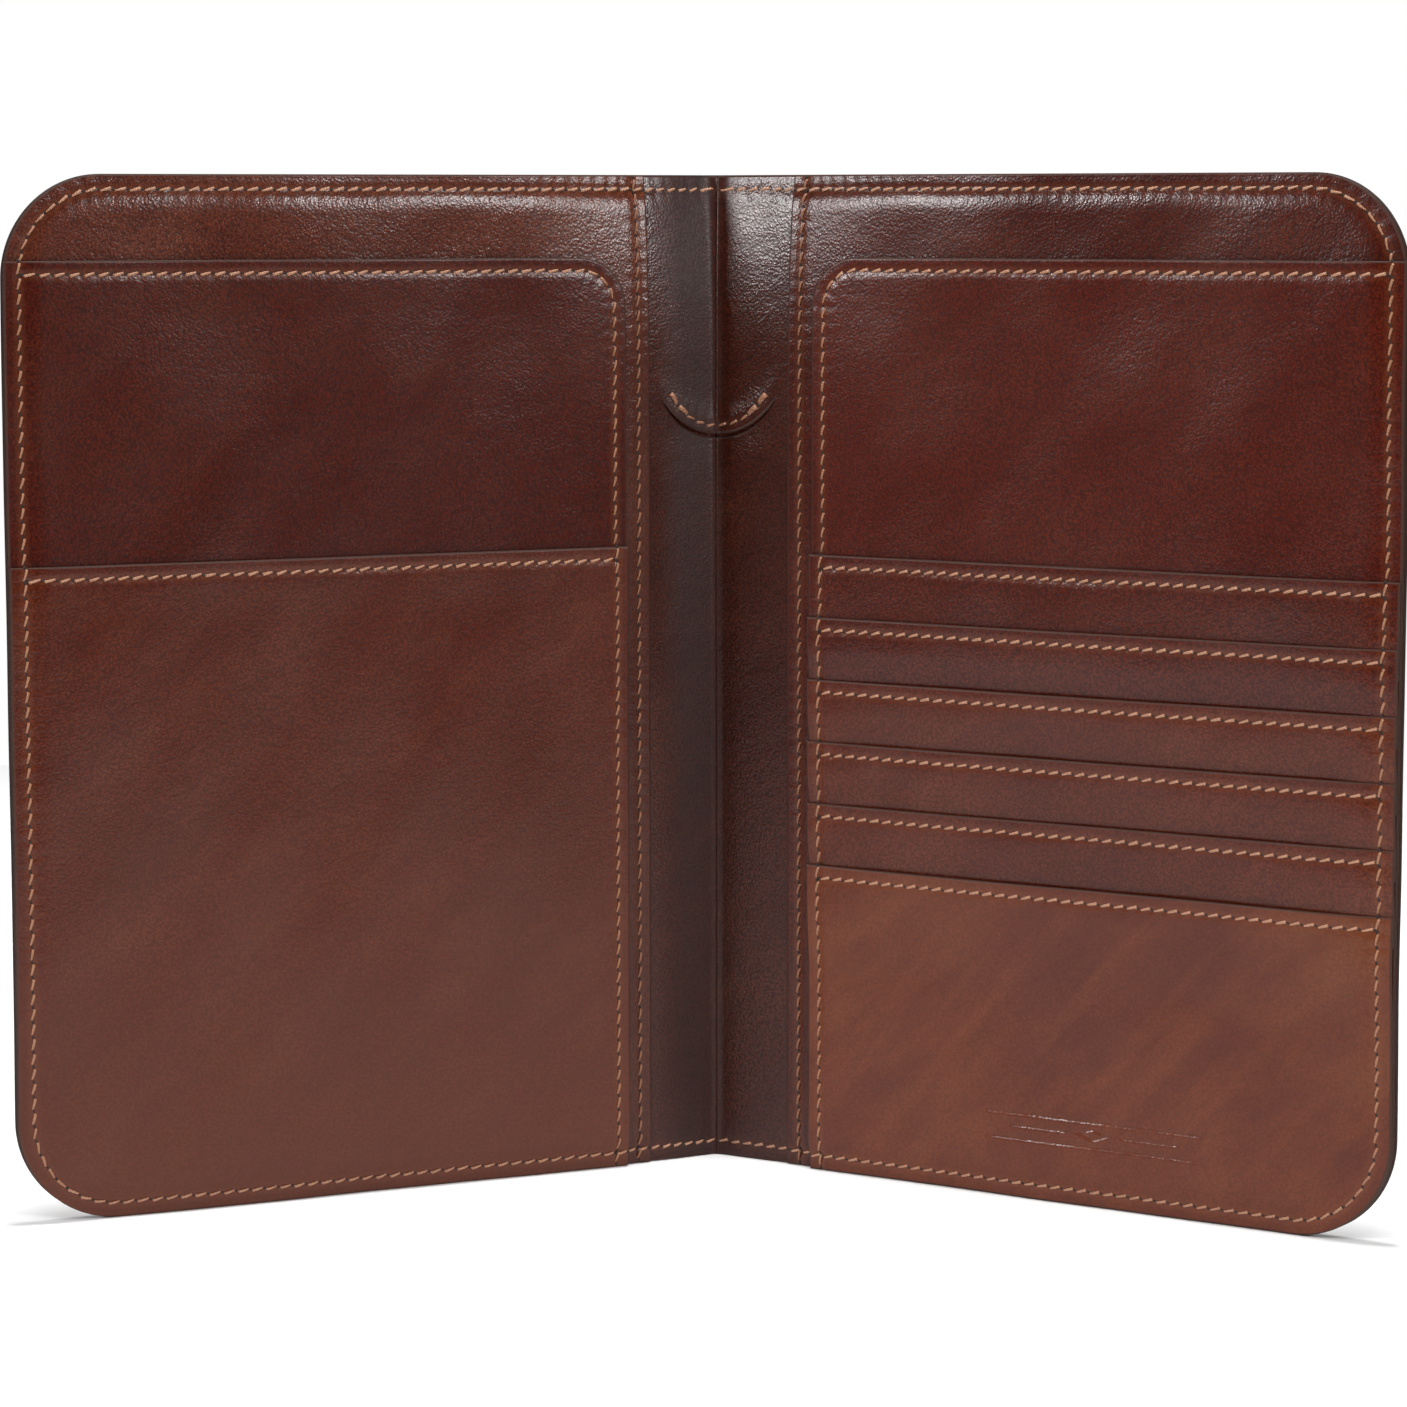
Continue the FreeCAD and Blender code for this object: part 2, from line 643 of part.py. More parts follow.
def right_threads():
    """The row down the inner side of the pockets, and the row round the leaf's edge."""
    gap = dim("stitch_gap")
    top = facing_top(1)
    panel_top = facing_top(CARD_FACINGS + 1)
    inner = [tall_thread_bend("right", top + gap)]
    inner += card_side_rows("card_inner_row", INNER_ROW)
    inner.append(plate("card_inner_row_foot", "right", dim("pocket_thick"), PROUD, INNER_ROW, INNER_ROW + WIDE,
                       ROW_FOOT + WIDE + gap, panel_top))
    inner[-1].Placement = front_tilt()
    keep(group("tall_pocket_thread_right", inner), "tall_pocket_thread_right", "right")

    outer = edge_thread_upper("right") + outside_row("edge_right_outside", "right", PROUD, size(0))
    outer.append(edge_thread_side("right", top + gap))
    outer += card_side_rows("card_outer_row", OUTER_ROW - WIDE)
    outer.append(elbow("edge_right_lower", "right", dim("pocket_thick"), PROUD, WIDE, across("pocket_start"),
                       OUTER_ROW, ROW_FOOT, panel_top, ROW_RADIUS, "foot_right"))
    outer[-1].Placement = front_tilt()
    keep(group("edge_thread_right", outer), "edge_thread_right", "right")


# ---------------------------------------------------------------- assembly


def frames(offset_y):
    """The placement of the crown and of each leaf as the wallet stands."""
    crease = FreeCAD.Vector(0, offset_y, 0)
    hinge = FreeCAD.Vector(HINGE_X, HINGE_Y, 0)
    upright = FreeCAD.Vector(0, 0, 1)
    lean = math.degrees(LEAF_LEAN)
    return {
        "crown": FreeCAD.Placement(crease, FreeCAD.Rotation(upright, 0)),
        "right": FreeCAD.Placement(crease + hinge, FreeCAD.Rotation(upright, -lean)),
        "left": FreeCAD.Placement(
            crease + FreeCAD.Vector(-hinge.x, hinge.y, 0), FreeCAD.Rotation(upright, 180 + lean)
        ),
    }


def stand(offset_y):
    """Puts every sub-part where it stands."""
    where = frames(offset_y)
    for obj, frame, tilt in parts:
        obj.Placement = where[frame] * tilt if tilt else where[frame]
    doc.recompute()


def whole_box():
    box = FreeCAD.BoundBox()
    for obj, _, _ in parts:
        box.add(obj.Shape.optimalBoundingBox(False))
    return box


def check():
    """Stops if any object failed, or any sub-part is empty or not valid."""
    for obj in doc.Objects:
        if "Invalid" in obj.State or "Error" in obj.State:
            raise RuntimeError(f"{obj.Name} failed: {obj.State}")
    for obj, _, _ in parts:
        if obj.Shape.isNull() or not obj.Shape.isValid() or not obj.Shape.Solids:
            raise RuntimeError(f"{obj.Label} has no valid solid")


crown()
for leaf in ("left", "right"):
    shell(leaf)
    slit_thread(leaf)
    seam_thread(leaf)
left_pockets()
left_edge_thread()
tall_pocket("right")
for card in range(1, CARD_FACINGS + 1):
    card_facing(card)
front_card_panel()
right_threads()
doc.recompute()

stand(0.0)
standing = whole_box()
stand(-(standing.YMin + standing.YMax) / 2)
check()

os.makedirs("parts", exist_ok=True)
for old in os.listdir("parts"):
    if old.endswith(".step"):
        os.remove(os.path.join("parts", old))
for obj, _, _ in parts:
    obj.Shape.exportStep(os.path.join("parts", obj.Label + ".step"))

for name, placement in frames(-(standing.YMin + standing.YMax) / 2).items():
    print(f"{name} frame at", [round(c, 4) for c in placement.Base])
box = whole_box()
print("box", [round(v, 3) for v in (box.XMin, box.XMax, box.YMin, box.YMax, box.ZMin, box.ZMax)])
print(len(parts), "sub-parts")
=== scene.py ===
"""The looks of a folding leather passport wallet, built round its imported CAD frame.

Lengths are in millimetres until a point is placed. A leaf's own coordinates are u, the distance along the
leather from the centre of the fold, z, the height, and w, the level towards the reader from the spine strip's
face.
"""

import json
import math

import bmesh
import bpy
import numpy as np
from mathutils import Matrix, Vector


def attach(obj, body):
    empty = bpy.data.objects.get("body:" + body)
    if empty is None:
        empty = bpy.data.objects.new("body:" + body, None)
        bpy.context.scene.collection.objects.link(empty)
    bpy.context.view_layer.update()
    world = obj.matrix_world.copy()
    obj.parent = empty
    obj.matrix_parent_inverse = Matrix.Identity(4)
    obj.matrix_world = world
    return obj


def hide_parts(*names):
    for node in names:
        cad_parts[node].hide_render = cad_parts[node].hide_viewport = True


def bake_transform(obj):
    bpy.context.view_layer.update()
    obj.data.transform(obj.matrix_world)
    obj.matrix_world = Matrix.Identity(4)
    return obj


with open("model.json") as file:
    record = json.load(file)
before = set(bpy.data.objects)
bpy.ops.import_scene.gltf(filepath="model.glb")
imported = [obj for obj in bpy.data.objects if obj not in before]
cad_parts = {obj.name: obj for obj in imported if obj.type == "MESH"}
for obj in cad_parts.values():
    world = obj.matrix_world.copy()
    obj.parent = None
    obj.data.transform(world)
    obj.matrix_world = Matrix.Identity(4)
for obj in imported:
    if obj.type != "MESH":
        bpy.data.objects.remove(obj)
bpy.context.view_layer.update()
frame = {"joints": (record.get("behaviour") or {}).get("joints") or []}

MM = 0.001
QUARTER = math.pi / 2
RNG = np.random.default_rng(7)
SIDES = {"left": -1.0, "right": 1.0}

# The wallet's own sizes, as in its CAD. Distances across a leaf are from the centre of the fold.
REACH = 113.8
HEIGHT = 152.4
CORNER = 15.0
CROWN_HALF = 5.5
LEAF_LEAN = math.radians(29.0)
STRIP_END = 18.0
PANEL_START = 12.5
POCKET_START = 17.0
TALL_TOP = 140.0
TALL_CORNER = 7.5
SHORT_TOP = 96.2
CARD_TOP = 95.1
CARD_PITCH = 9.5
CARD_FACINGS = 5
FACING = 14.0
FRONT_TOP = CARD_TOP - CARD_PITCH * CARD_FACINGS
SLIT_FOOT = 112.6
SLIT_RADIUS = 11.5
SLIT_HALF = 10.0

# Levels of the layers' backs and faces.
COVER_BACK, COVER_FACE = -1.8, -0.75
BOARD_BACK, BOARD_FACE = -0.7, -0.04
STRIP_BACK = -0.6
LINING_FACE = 0.6
TALL_BACK, TALL_FACE = 0.7, 1.3
SHORT_BACK, SHORT_FACE = 1.4, 2.0
FACING_THICK = 0.5
FRONT_THICK = 0.6

# Rows of stitching: the seam's and the pockets' inner sides' u, and how far the others are from an edge.
SEAM_AT = 14.55
SIDE_ROW = 18.95
EDGE_ROW = 2.15
END_ROW = 2.2
MOUTH_ROW = 1.95
SLIT_ROW = 1.6
PITCH = 2.2
SUNK = 0.10  # how deep most rows' stitches lie in the leather
ROW_START = 0.4  # from the wallet's foot to the first needle hole of an upright row
EDGE_U = REACH - EDGE_ROW
EDGE_R = CORNER - EDGE_ROW
TOP_Z = HEIGHT - END_ROW

# How deep a row's trough and its needle holes are, and how high the leather swells between the holes.
COVER_BED = (0.12, 0.08, 0.02)
STRIP_BED = (0.1, 0.08, 0.02)
SEAM_BED = (0.08, 0.10, 0.02)
LINING_BED = (0.12, 0.10, 0.02)
MARGIN_BED = (0.1, 0.08, 0.03)
BEND_BED = (0.06, 0.10, 0.012)
SIDE_BED = (0.07, 0.1, 0.012)
MOUTH_BED = (0.05, 0.10, 0.01)
FACING_SIDE_BED = (0.07, 0.09, 0.012)

# The fold. Its crease is a little left of the middle, so the left half of the crown is the steeper one.
CREASE_X, CREASE_Y = -1.0, 28.0
CREASE_TURN = 1.1  # the leather that the round turn at the crease takes, on each side
EASE_START, EASE_WIDE = 7.0, 9.0  # where the crown eases into the leaf
FOLD_END = 18.0
hinge = next(j for j in frame["joints"] if j["name"] == "right_fold")["pos_m"]
HINGE_X = hinge[0] / MM
HINGE_Y = hinge[1] / MM

# The leaves' waves: height, turns along and up in a length, and phase.
WARPS = {
    "left": [(0.16, 0.031, 0.021, 0.8), (0.10, 0.052, -0.043, 2.6), (0.05, 0.11, 0.074, 4.4)],
    "right": [(0.15, 0.028, -0.024, 1.9), (0.10, 0.047, 0.051, 0.3), (0.05, 0.096, -0.085, 5.1)],
}
WARP_TURNS = 0.45
PRESSED, PRESSED_WIDE = 0.34, 5.5  # how much flatter the layers are at a leaf's edge, and how far in
BOW_DEEP, BOW_FROM, BOW_TALL, BOW_WIDE = -2.0, 124.0, 28.4, 26.0


def smooth(t):
    """0 below 0, 1 above 1, and an even ramp between."""
    t = np.clip(t, 0.0, 1.0)
    return t * t * (3.0 - 2.0 * t)


# ---- where things are


def fold_profile(crease_x):
    """The plan of the folded leather, from its crease to where a leaf is flat: u, x, y and lean."""
    us = np.linspace(0.0, FOLD_END, 721)
    end_x = HINGE_X + (FOLD_END - CROWN_HALF) * math.cos(LEAF_LEAN)
    end_y = HINGE_Y - (FOLD_END - CROWN_HALF) * math.sin(LEAF_LEAN)
    slope = (CREASE_Y - end_y) / (end_x - crease_x)

    def run(crown):
        """A short round turn at the crease, then the crown, which eases into the leaf."""
        eased = crown + (LEAF_LEAN - crown) * smooth((us - EASE_START) / EASE_WIDE)
        lean = smooth(us / CREASE_TURN) * eased
        middle = (lean[1:] + lean[:-1]) / 2.0
        step = us[1] - us[0]
        xs = np.concatenate([[0.0], np.cumsum(np.cos(middle)) * step])
        ys = np.concatenate([[0.0], np.cumsum(np.sin(middle)) * step])
        return lean, xs, ys

    low, high = 0.0, math.radians(60.0)
    for _ in range(50):
        crown = (low + high) / 2.0
        _, xs, ys = run(crown)
        if ys[-1] / xs[-1] < slope:
            low = crown
        else:
            high = crown
    lean, xs, ys = run(low)
    size = (end_x - crease_x) / xs[-1]
    return us, crease_x + size * xs, CREASE_Y - size * ys, lean


FOLDS = {"left": fold_profile(-CREASE_X), "right": fold_profile(CREASE_X)}


def place(side, u, z, w):
    """Points in the row frame, in metres, from a leaf's own coordinates."""
    us, xs, ys, leans = FOLDS[side]
    past = np.maximum(u - us[-1], 0.0)
    lean = np.interp(u, us, leans)
    x = np.interp(u, us, xs) + past * math.cos(LEAF_LEAN) - w * np.sin(lean)
    y = np.interp(u, us, ys) - past * math.sin(LEAF_LEAN) - w * np.cos(lean)
    return np.stack([SIDES[side] * x, y, z + 0.0 * x], -1) * MM


def box_distance(u, z, u0, u1, z0, z1, radii=(0, 0, 0, 0), sides="lrbt"):
    """How far inside a rectangle each point is.

    radii are for foot left, foot right, top right and top left. Only the sides named by their letters count.
    """
    far = 1e3
    left = u - u0 if "l" in sides else far
    right = u1 - u if "r" in sides else far
    low = z - z0 if "b" in sides else far
    high = z1 - z if "t" in sides else far
    d = np.minimum(np.minimum(left, right), np.minimum(low, high)) + 0.0 * (u + z)
    pairs = ((left, low), (right, low), (right, high), (left, high))
    for r, (a, b) in zip(radii, pairs):
        if r:
            inside = (a < r) & (b < r)
            d = np.where(inside, r - np.hypot(r - a, r - b), d)
    return d


def warp(side, u, z):
    """The slow waviness of a leaf, which every layer shares."""
    total = 0.0
    for size, along, up, phase in WARPS[side]:
        turns = along * u * WARP_TURNS + up * z * WARP_TURNS
        total = total + size * np.sin(2 * math.pi * turns + phase)
    return total * smooth((u - 14.0) / 26.0)


def bow(u, z):
    """The spine's top edge leans back a little, and the leaves near it with it."""
    return BOW_DEEP * (np.maximum(z - BOW_FROM, 0.0) / BOW_TALL) ** 2 * np.exp(-((u / BOW_WIDE) ** 2))


def stack(side, u, z, w):
    """A layer's level once the leaf's edge has been pressed and sewn."""
    d = box_distance(u, z, 0.0, REACH, 0.0, HEIGHT, (0, CORNER, CORNER, 0), "rbt")
    pressed = 1.0 - PRESSED * (1.0 - smooth(d / PRESSED_WIDE)) * smooth((u - 6.0) / 8.0)
    return BOARD_BACK + (w - BOARD_BACK) * pressed + warp(side, u, z) + bow(u, z)


def at_level(side, w):
    """A layer's level, as a function of u and z."""
    return lambda u, z: stack(side, u, z, w)


def raised(face, by):
    return lambda u, z: face(u, z) + by


# ---- rows of stitching


class Row:
    """A row of stitches along lines and arcs in a leaf's own coordinates."""

    def __init__(self, *runs, bed=(0.0, 0.0, 0.0), pitch=PITCH):
        self.runs = runs
        self.bed = bed
        self.ends = np.cumsum([0.0] + [self.length_of(r) for r in runs])
        self.length = self.ends[-1]
        self.count = max(1, round(self.length / pitch))
        self.pitch = self.length / self.count

    @staticmethod
    def length_of(run):
        if run[0] == "line":
            return math.dist(run[1], run[2])
        return abs(run[4] - run[3]) * run[2]

    def at(self, s):
        """The point and direction a distance s along the row."""
        i = min(int(np.searchsorted(self.ends, s, side="right")) - 1, len(self.runs) - 1)
        i = max(i, 0)
        run = self.runs[i]
        t = (s - self.ends[i]) / max(self.length_of(run), 1e-9)
        if run[0] == "line":
            p, q = np.array(run[1], float), np.array(run[2], float)
            return p + (q - p) * t, (q - p) / np.linalg.norm(q - p)
        _, centre, r, start, end = run
        a = start + (end - start) * t
        way = 1.0 if end > start else -1.0
        point = np.array(centre) + r * np.array([math.cos(a), math.sin(a)])
        return point, way * np.array([-math.sin(a), math.cos(a)])

    def near(self, u, z):
        """For each point, its distance from the row, and how far along the row it is."""
        best = np.full(np.shape(u + z), 1e3)
        along = np.zeros_like(best)
        for i, run in enumerate(self.runs):
            if run[0] == "line":
                (pu, pz), (qu, qz) = run[1], run[2]
                size = self.length_of(run)
                du, dz = (qu - pu) / size, (qz - pz) / size
                t = np.clip((u - pu) * du + (z - pz) * dz, 0.0, size)
                d = np.hypot(u - pu - t * du, z - pz - t * dz)
            else:
                _, (cu, cz), r, start, end = run
                low, high = min(start, end), max(start, end)
                middle = (low + high) / 2.0
                a = np.arctan2(z - cz, u - cu)
                a = middle + (a - middle + math.pi) % (2 * math.pi) - math.pi
                a = np.clip(a, low, high)
                d = np.hypot(u - cu - r * np.cos(a), z - cz - r * np.sin(a))
                t = np.abs(a - start) * r
            closer = d < best
            best = np.where(closer, d, best)
            along = np.where(closer, self.ends[i] + t, along)
        return best, along

    def relief(self, u, z):
        """The hollow that the row pulls into the leather, its holes, and the small swellings beside them."""
        trough, hole, pucker = self.bed
        d, s = self.near(u, z)
        phase = s / self.pitch
        to_hole = np.abs(phase - np.round(phase)) * self.pitch
        line = np.exp(-((d / 0.75) ** 2))
        pits = np.exp(-((d / 0.42) ** 2) - (to_hole / 0.42) ** 2)
        swell = -np.cos(2 * math.pi * phase) * np.exp(-(((d - 1.15) / 0.75) ** 2))
        return -trough * line - hole * pits + pucker * swell


def bedded(face, rows):
    """A face once its rows of stitching have pressed it in."""
    return lambda u, z: sum((row.relief(u, z) for row in rows), face(u, z))


def u_line(z, start, end):
    return ("line", (start, z), (end, z))


def z_line(u, start, end):
    return ("line", (u, start), (u, end))


def edge_row(start, low, high, bed):
    """The row round a leaf's edge, along the top or the foot from the fold, and to a height at the side."""
    centre_u = EDGE_U - EDGE_R
    if high is None:
        centre = (centre_u, END_ROW + EDGE_R)
        return Row(
            u_line(END_ROW, start, centre_u),
            ("arc", centre, EDGE_R, -QUARTER, 0.0),
            z_line(EDGE_U, END_ROW + EDGE_R, low),
            bed=bed,
        )
    centre = (centre_u, TOP_Z - EDGE_R)
    return Row(
        z_line(EDGE_U, high, TOP_Z - EDGE_R),
        ("arc", centre, EDGE_R, 0.0, QUARTER),
        u_line(TOP_Z, centre_u, start),
        bed=bed,
    )


# ---- sheets of leather


def ticks(start, end, step, fine=(), rims="ab", rim=0.5):
    """Grid positions from start to end, closer within each fine band, and hugging the rounded rims."""
    hug = np.array([0.0, 0.05, 0.13, 0.24, 0.38, 0.56]) * rim / 0.5

    def evenly(low, high, size):
        return np.linspace(low, high, max(2, int(round((high - low) / size)) + 1))

    coarse = evenly(start, end, step)
    bands = []
    for low, high, size in fine:
        coarse = coarse[(coarse <= low) | (coarse >= high)]
        bands.append(evenly(low, high, size))
    marks = np.concatenate([coarse, *bands])
    if "a" in rims:
        marks = np.concatenate([marks[marks > start + hug[-1] + 0.1], start + hug])
    if "b" in rims:
        marks = np.concatenate([marks[marks < end - hug[-1] - 0.1], end - hug])
    marks = np.sort(np.concatenate([marks, [start, end]]))
    return marks[np.concatenate([[True], np.diff(marks) > 0.02])]


def round_corner(u, z, corner_u, corner_z, into_u, into_z, r):
    """Moves the grid points in a corner's square onto the quarter disc that rounds it."""
    cu, cz = corner_u + into_u * r, corner_z + into_z * r
    a = -(u - cu) * into_u / r
    b = -(z - cz) * into_z / r
    inside = (a > 0) & (b > 0)
    na = a * np.sqrt(np.clip(1.0 - b * b / 2.0, 0.0, 1.0))
    nb = b * np.sqrt(np.clip(1.0 - a * a / 2.0, 0.0, 1.0))
    u = np.where(inside, cu - into_u * na * r, u)
    z = np.where(inside, cz - into_z * nb * r, z)
    return u, z


def mesh_object(name, points, faces, attributes, material):
    """A mesh object from arrays of points and of four-cornered faces, with values stored on its points."""
    mesh = bpy.data.meshes.new(name)
    mesh.vertices.add(len(points))
    mesh.vertices.foreach_set("co", np.ascontiguousarray(points, np.float32).ravel())
    mesh.loops.add(faces.size)
    mesh.loops.foreach_set("vertex_index", faces.astype(np.int32).ravel())
    mesh.polygons.add(len(faces))
    starts = np.arange(0, faces.size, faces.shape[1], dtype=np.int32)
    mesh.polygons.foreach_set("loop_start", starts)
    mesh.update(calc_edges=True)
    for key, kind, values in attributes:
        layer = mesh.attributes.new(key, kind, "POINT")
        field = "vector" if kind == "FLOAT_VECTOR" else "value"
        layer.data.foreach_set(field, np.ascontiguousarray(values, np.float32).ravel())
    mesh.shade_smooth()
    obj = bpy.data.objects.new(name, mesh)
    bpy.context.scene.collection.objects.link(obj)
    mesh.materials.append(material)
    return obj


def skin_object(name, side, points, faces, skins, edges, seams, material):
    """A leather mesh, which knows at each point its place on the skin, and how near an edge and a row are."""
    return mesh_object(name, points, faces[:, ::-1] if side == "left" else faces, [
        ("skin", "FLOAT_VECTOR", skins),
        ("edge", "FLOAT", edges),
        ("seam", "FLOAT", seams),
    ], material)


def shell_faces(rows, columns, is_open=None):
    """The faces of a grid, of its back, and of the wall round them, except where that is open."""
    grid = np.arange(rows * columns).reshape(rows, columns)
    face = np.stack([grid[:-1, :-1], grid[1:, :-1], grid[1:, 1:], grid[:-1, 1:]], -1).reshape(-1, 4)
    around = np.concatenate([grid[0], grid[1:, -1], grid[-1, -2::-1], grid[-2:0:-1, 0]])
    after = np.roll(around, -1)
    back = grid.size
    wall = np.stack([around, after, after + back, around + back], -1)
    if is_open:
        wall = wall[~is_open(around, after)]
    return np.concatenate([face, face[:, ::-1] + back, wall[:, ::-1]])


def rounded(high, low, thick, d):
    """A sheet's two levels, drawn together towards its cut edge, which is a distance d away."""
    over = np.clip(d / (0.55 * thick), 0.0, 1.0)
    half = thick / 2.0 * (0.42 + 0.58 * np.sqrt(1.0 - (1.0 - over) ** 2))
    middle = (high + low) / 2.0
    return middle + half, middle - half


SKIN_STEP = 37.0
skin_count = [0]


def sheet(name, side, us, zs, outline, front, back, material, cut="lrbt", rows=(), skin=None):
    """A sheet of leather between two level functions, with its cut edges rounded over.

    skin is the depth at which it is cut from the procedural hide, so that no two sheets look alike.
    """
    u0, u1, z0, z1, radii = outline
    u, z = np.meshgrid(us, zs, indexing="ij")
    corners = ((u0, z0, 1, 1), (u1, z0, -1, 1), (u1, z1, -1, -1), (u0, z1, 1, -1))
    for r, (cu, cz, iu, iz) in zip(radii, corners):
        if r:
            u, z = round_corner(u, z, cu, cz, iu, iz, r)
    d = box_distance(u, z, u0, u1, z0, z1, radii, cut)
    high, low = front(u, z), back(u, z)
    levels = rounded(high, low, high - low, d)
    near = np.full(u.shape, 9.0)
    for row in rows:
        near = np.minimum(near, row.near(u, z)[0])
    skin_count[0] += 1
    depth = SKIN_STEP * skin_count[0] if skin is None else skin
    points = np.concatenate([place(side, u, z, w).reshape(-1, 3) for w in levels])
    skins = np.concatenate([np.stack([u * SIDES[side], z, w + depth], -1).reshape(-1, 3) for w in levels])
    edges, seams = (np.tile(v.ravel(), 2) for v in (np.clip(d, 0.0, 9.0), near))
    return skin_object(name, side, points, shell_faces(*u.shape), skins, edges, seams, material)


def weld(obj):
    """Joins points that coincide, such as where two grids meet."""
    work = bmesh.new()
    work.from_mesh(obj.data)
    bmesh.ops.remove_doubles(work, verts=work.verts, dist=2e-6)
    work.to_mesh(obj.data)
    work.free()
    obj.data.shade_smooth()


def crisp_fold(obj):
    """Keeps the wall at the centre of the fold from rounding off the faces beside it."""
    mesh = obj.data
    skins = np.empty(3 * len(mesh.vertices))
    mesh.attributes["skin"].data.foreach_get("vector", skins)
    inner = np.abs(skins[0::3]) > 1e-4
    corners = np.empty(len(mesh.loops), int)
    mesh.loops.foreach_get("vertex_index", corners)
    starts = np.empty(len(mesh.polygons), int)
    mesh.polygons.foreach_get("loop_start", starts)
    mesh.polygons.foreach_set("use_smooth", np.add.reduceat(inner[corners].astype(int), starts) > 0)


# ---- stitches


STITCH_RADIUS = 0.2
STITCH_SLANT = math.radians(15.0)
HOLE_LONG, HOLE_WIDE = 0.30, 0.23
HOLE_RINGS = [(1.0, -0.10), (0.8, 0.015), (0.35, 0.03)]  # share of the hole's size, and height
IN_THREAD, IN_HOLE, IN_SIDE_THREAD = 0, 1, 2  # places of a row's materials


def tube_faces(rings, around):
    """The faces between rings of points, and those that close a ring."""
    i, j = np.meshgrid(np.arange(rings - 1), np.arange(around), indexing="ij")
    k = (j + 1) % around
    walls = np.stack([i * around + j, i * around + k, (i + 1) * around + k, (i + 1) * around + j], -1)
    cap = np.array([[0, m + 1, m + 2, m + 3] for m in range(0, around - 2, 2)])
    return walls.reshape(-1, 4), cap


def stitch_shape(pitch, radius):
    """One stitch's own points: along the row, across it and up, with the twist of its two plies."""
    rings, around = 11, 10
    turns = np.linspace(0.0, 2 * math.pi, around, endpoint=False)
    i, a = np.meshgrid(np.arange(rings), turns, indexing="ij")
    t = np.linspace(-1.0, 1.0, rings)[i]
    rise = 0.13 + 0.03 * t - 0.36 * np.abs(t) ** 4
    thin = radius * (0.86 + 0.24 * t) * (1.0 - 0.3 * np.abs(t) ** 6)
    r = thin * (1.0 + 0.13 * np.cos(2.0 * (a - 2.4 * t * 1.6)))
    along = t * (pitch * 0.42)
    points = np.stack([along, r * np.cos(a) * 1.08, rise + r * np.sin(a) * 0.82], -1).reshape(-1, 3)
    walls, cap = tube_faces(rings, around)
    faces = np.concatenate([walls, cap[:, ::-1], cap + (rings - 1) * around])
    skins = np.stack([along, a * radius, 0.0 * along], -1).reshape(-1, 3)
    return points, faces, skins


def hole_shape():
    """A needle hole, as a low mound whose rim meets the leather, dark with painted shade for the hole."""
    around = 8
    a = np.linspace(0.0, 2 * math.pi, around, endpoint=False)
    points = np.concatenate([
        np.stack([HOLE_LONG * k * np.cos(a), HOLE_WIDE * k * np.sin(a), np.full(around, h)], -1)
        for k, h in HOLE_RINGS
    ])
    walls, cap = tube_faces(len(HOLE_RINGS), around)
    return points, np.concatenate([walls, cap + (len(HOLE_RINGS) - 1) * around])


def slant_of(direction):
    """Stitches lean the same way whichever way their row runs: up to the right."""
    du, dz = direction
    return STITCH_SLANT * (du * du - dz * dz)


def slopes(level, u, z):
    """How steeply a level rises along u and along z at a point."""
    step = 0.25
    along = level(np.array(u + step), np.array(z)) - level(np.array(u - step), np.array(z))
    up = level(np.array(u), np.array(z + step)) - level(np.array(u), np.array(z - step))
    return along / (2 * step), up / (2 * step)


def sew(name, side, rows, level, material, outward=1.0, radius=STITCH_RADIUS):
    """Lays separate stitches, and the holes between them, along rows on a surface."""
    all_points, all_faces, all_skins, marks = [], [], [], []
    first = 0

    def lay(centre, direction, local, faces, skins, mark):
        nonlocal first
        du, dz = direction
        cu, cz = centre
        u = cu + local[:, 0] * du - local[:, 1] * dz
        z = cz + local[:, 0] * dz + local[:, 1] * du
        slope_u, slope_z = slopes(level, cu, cz)
        w = level(np.array(cu), np.array(cz)) + slope_u * (u - cu) + slope_z * (z - cz)
        w = w + outward * local[:, 2]
        all_points.append(place(side, u, z, w))
        all_faces.append(faces + first)
        all_skins.append(skins)
        marks.append(np.full(len(faces), mark))
        first += len(local)

    hole_points, hole_faces = hole_shape()
    for row in rows:
        shape, faces, skins = stitch_shape(row.pitch, radius)
        for i in range(row.count):
            centre, direction = row.at((i + 0.5) * row.pitch)
            turn, longer, wider = RNG.normal(0.0, 1.0, 3)
            up_right = np.array([direction[0] * SIDES[side] * outward, direction[1]])
            angle = slant_of(up_right) * SIDES[side] * outward + 0.03 * turn
            c, s = math.cos(angle), math.sin(angle)
            aslant = (direction[0] * c - direction[1] * s, direction[0] * s + direction[1] * c)
            slim = 0.12 * abs(direction[1])
            local = shape * np.array([1.0 + 0.02 * longer, 1.0 + 0.05 * wider - slim, 1.0])
            local[:, 1] += 0.02 * longer
            mark = IN_SIDE_THREAD if abs(direction[1]) > 0.6 else IN_THREAD
            lay(centre, aslant, local, faces, skins + np.array([0, 0, first * 0.37]), mark)
        for i in range(row.count + 1):
            centre, direction = row.at(min(i * row.pitch, row.length - 1e-6))
            lay(centre, direction, hole_points, hole_faces, np.zeros_like(hole_points), IN_HOLE)
    faces = np.concatenate(all_faces)
    if (side == "left") != (outward < 0):
        faces = faces[:, ::-1]
    obj = mesh_object(name, np.concatenate(all_points), faces,
                      [("skin", "FLOAT_VECTOR", np.concatenate(all_skins))], material)
    obj.data.materials.append(HOLE_SHADE)
    obj.data.materials.append(SIDE_THREAD if material is THREAD else material)
    obj.data.polygons.foreach_set("material_index", np.concatenate(marks).astype(np.int32))
    obj.data.update()
    return obj


# ---- materials


ROUGH = 0.22
SPECULAR = 0.26
# painted shade: LOWER_SHADE darkens the left lining below its top, where the fold shades it
LOWER_SHADE = (0.030, 0.0060, 0.0035)
# painted shade: the near-black tone mixed in left of the crease, where the fold shades the leather
FOLD_SHADE = (0.008, 0.003, 0.002)
EDGE_PAINT = (0.045, 0.017, 0.010)
SEAM_TINT = (0.2, 0.062, 0.025)


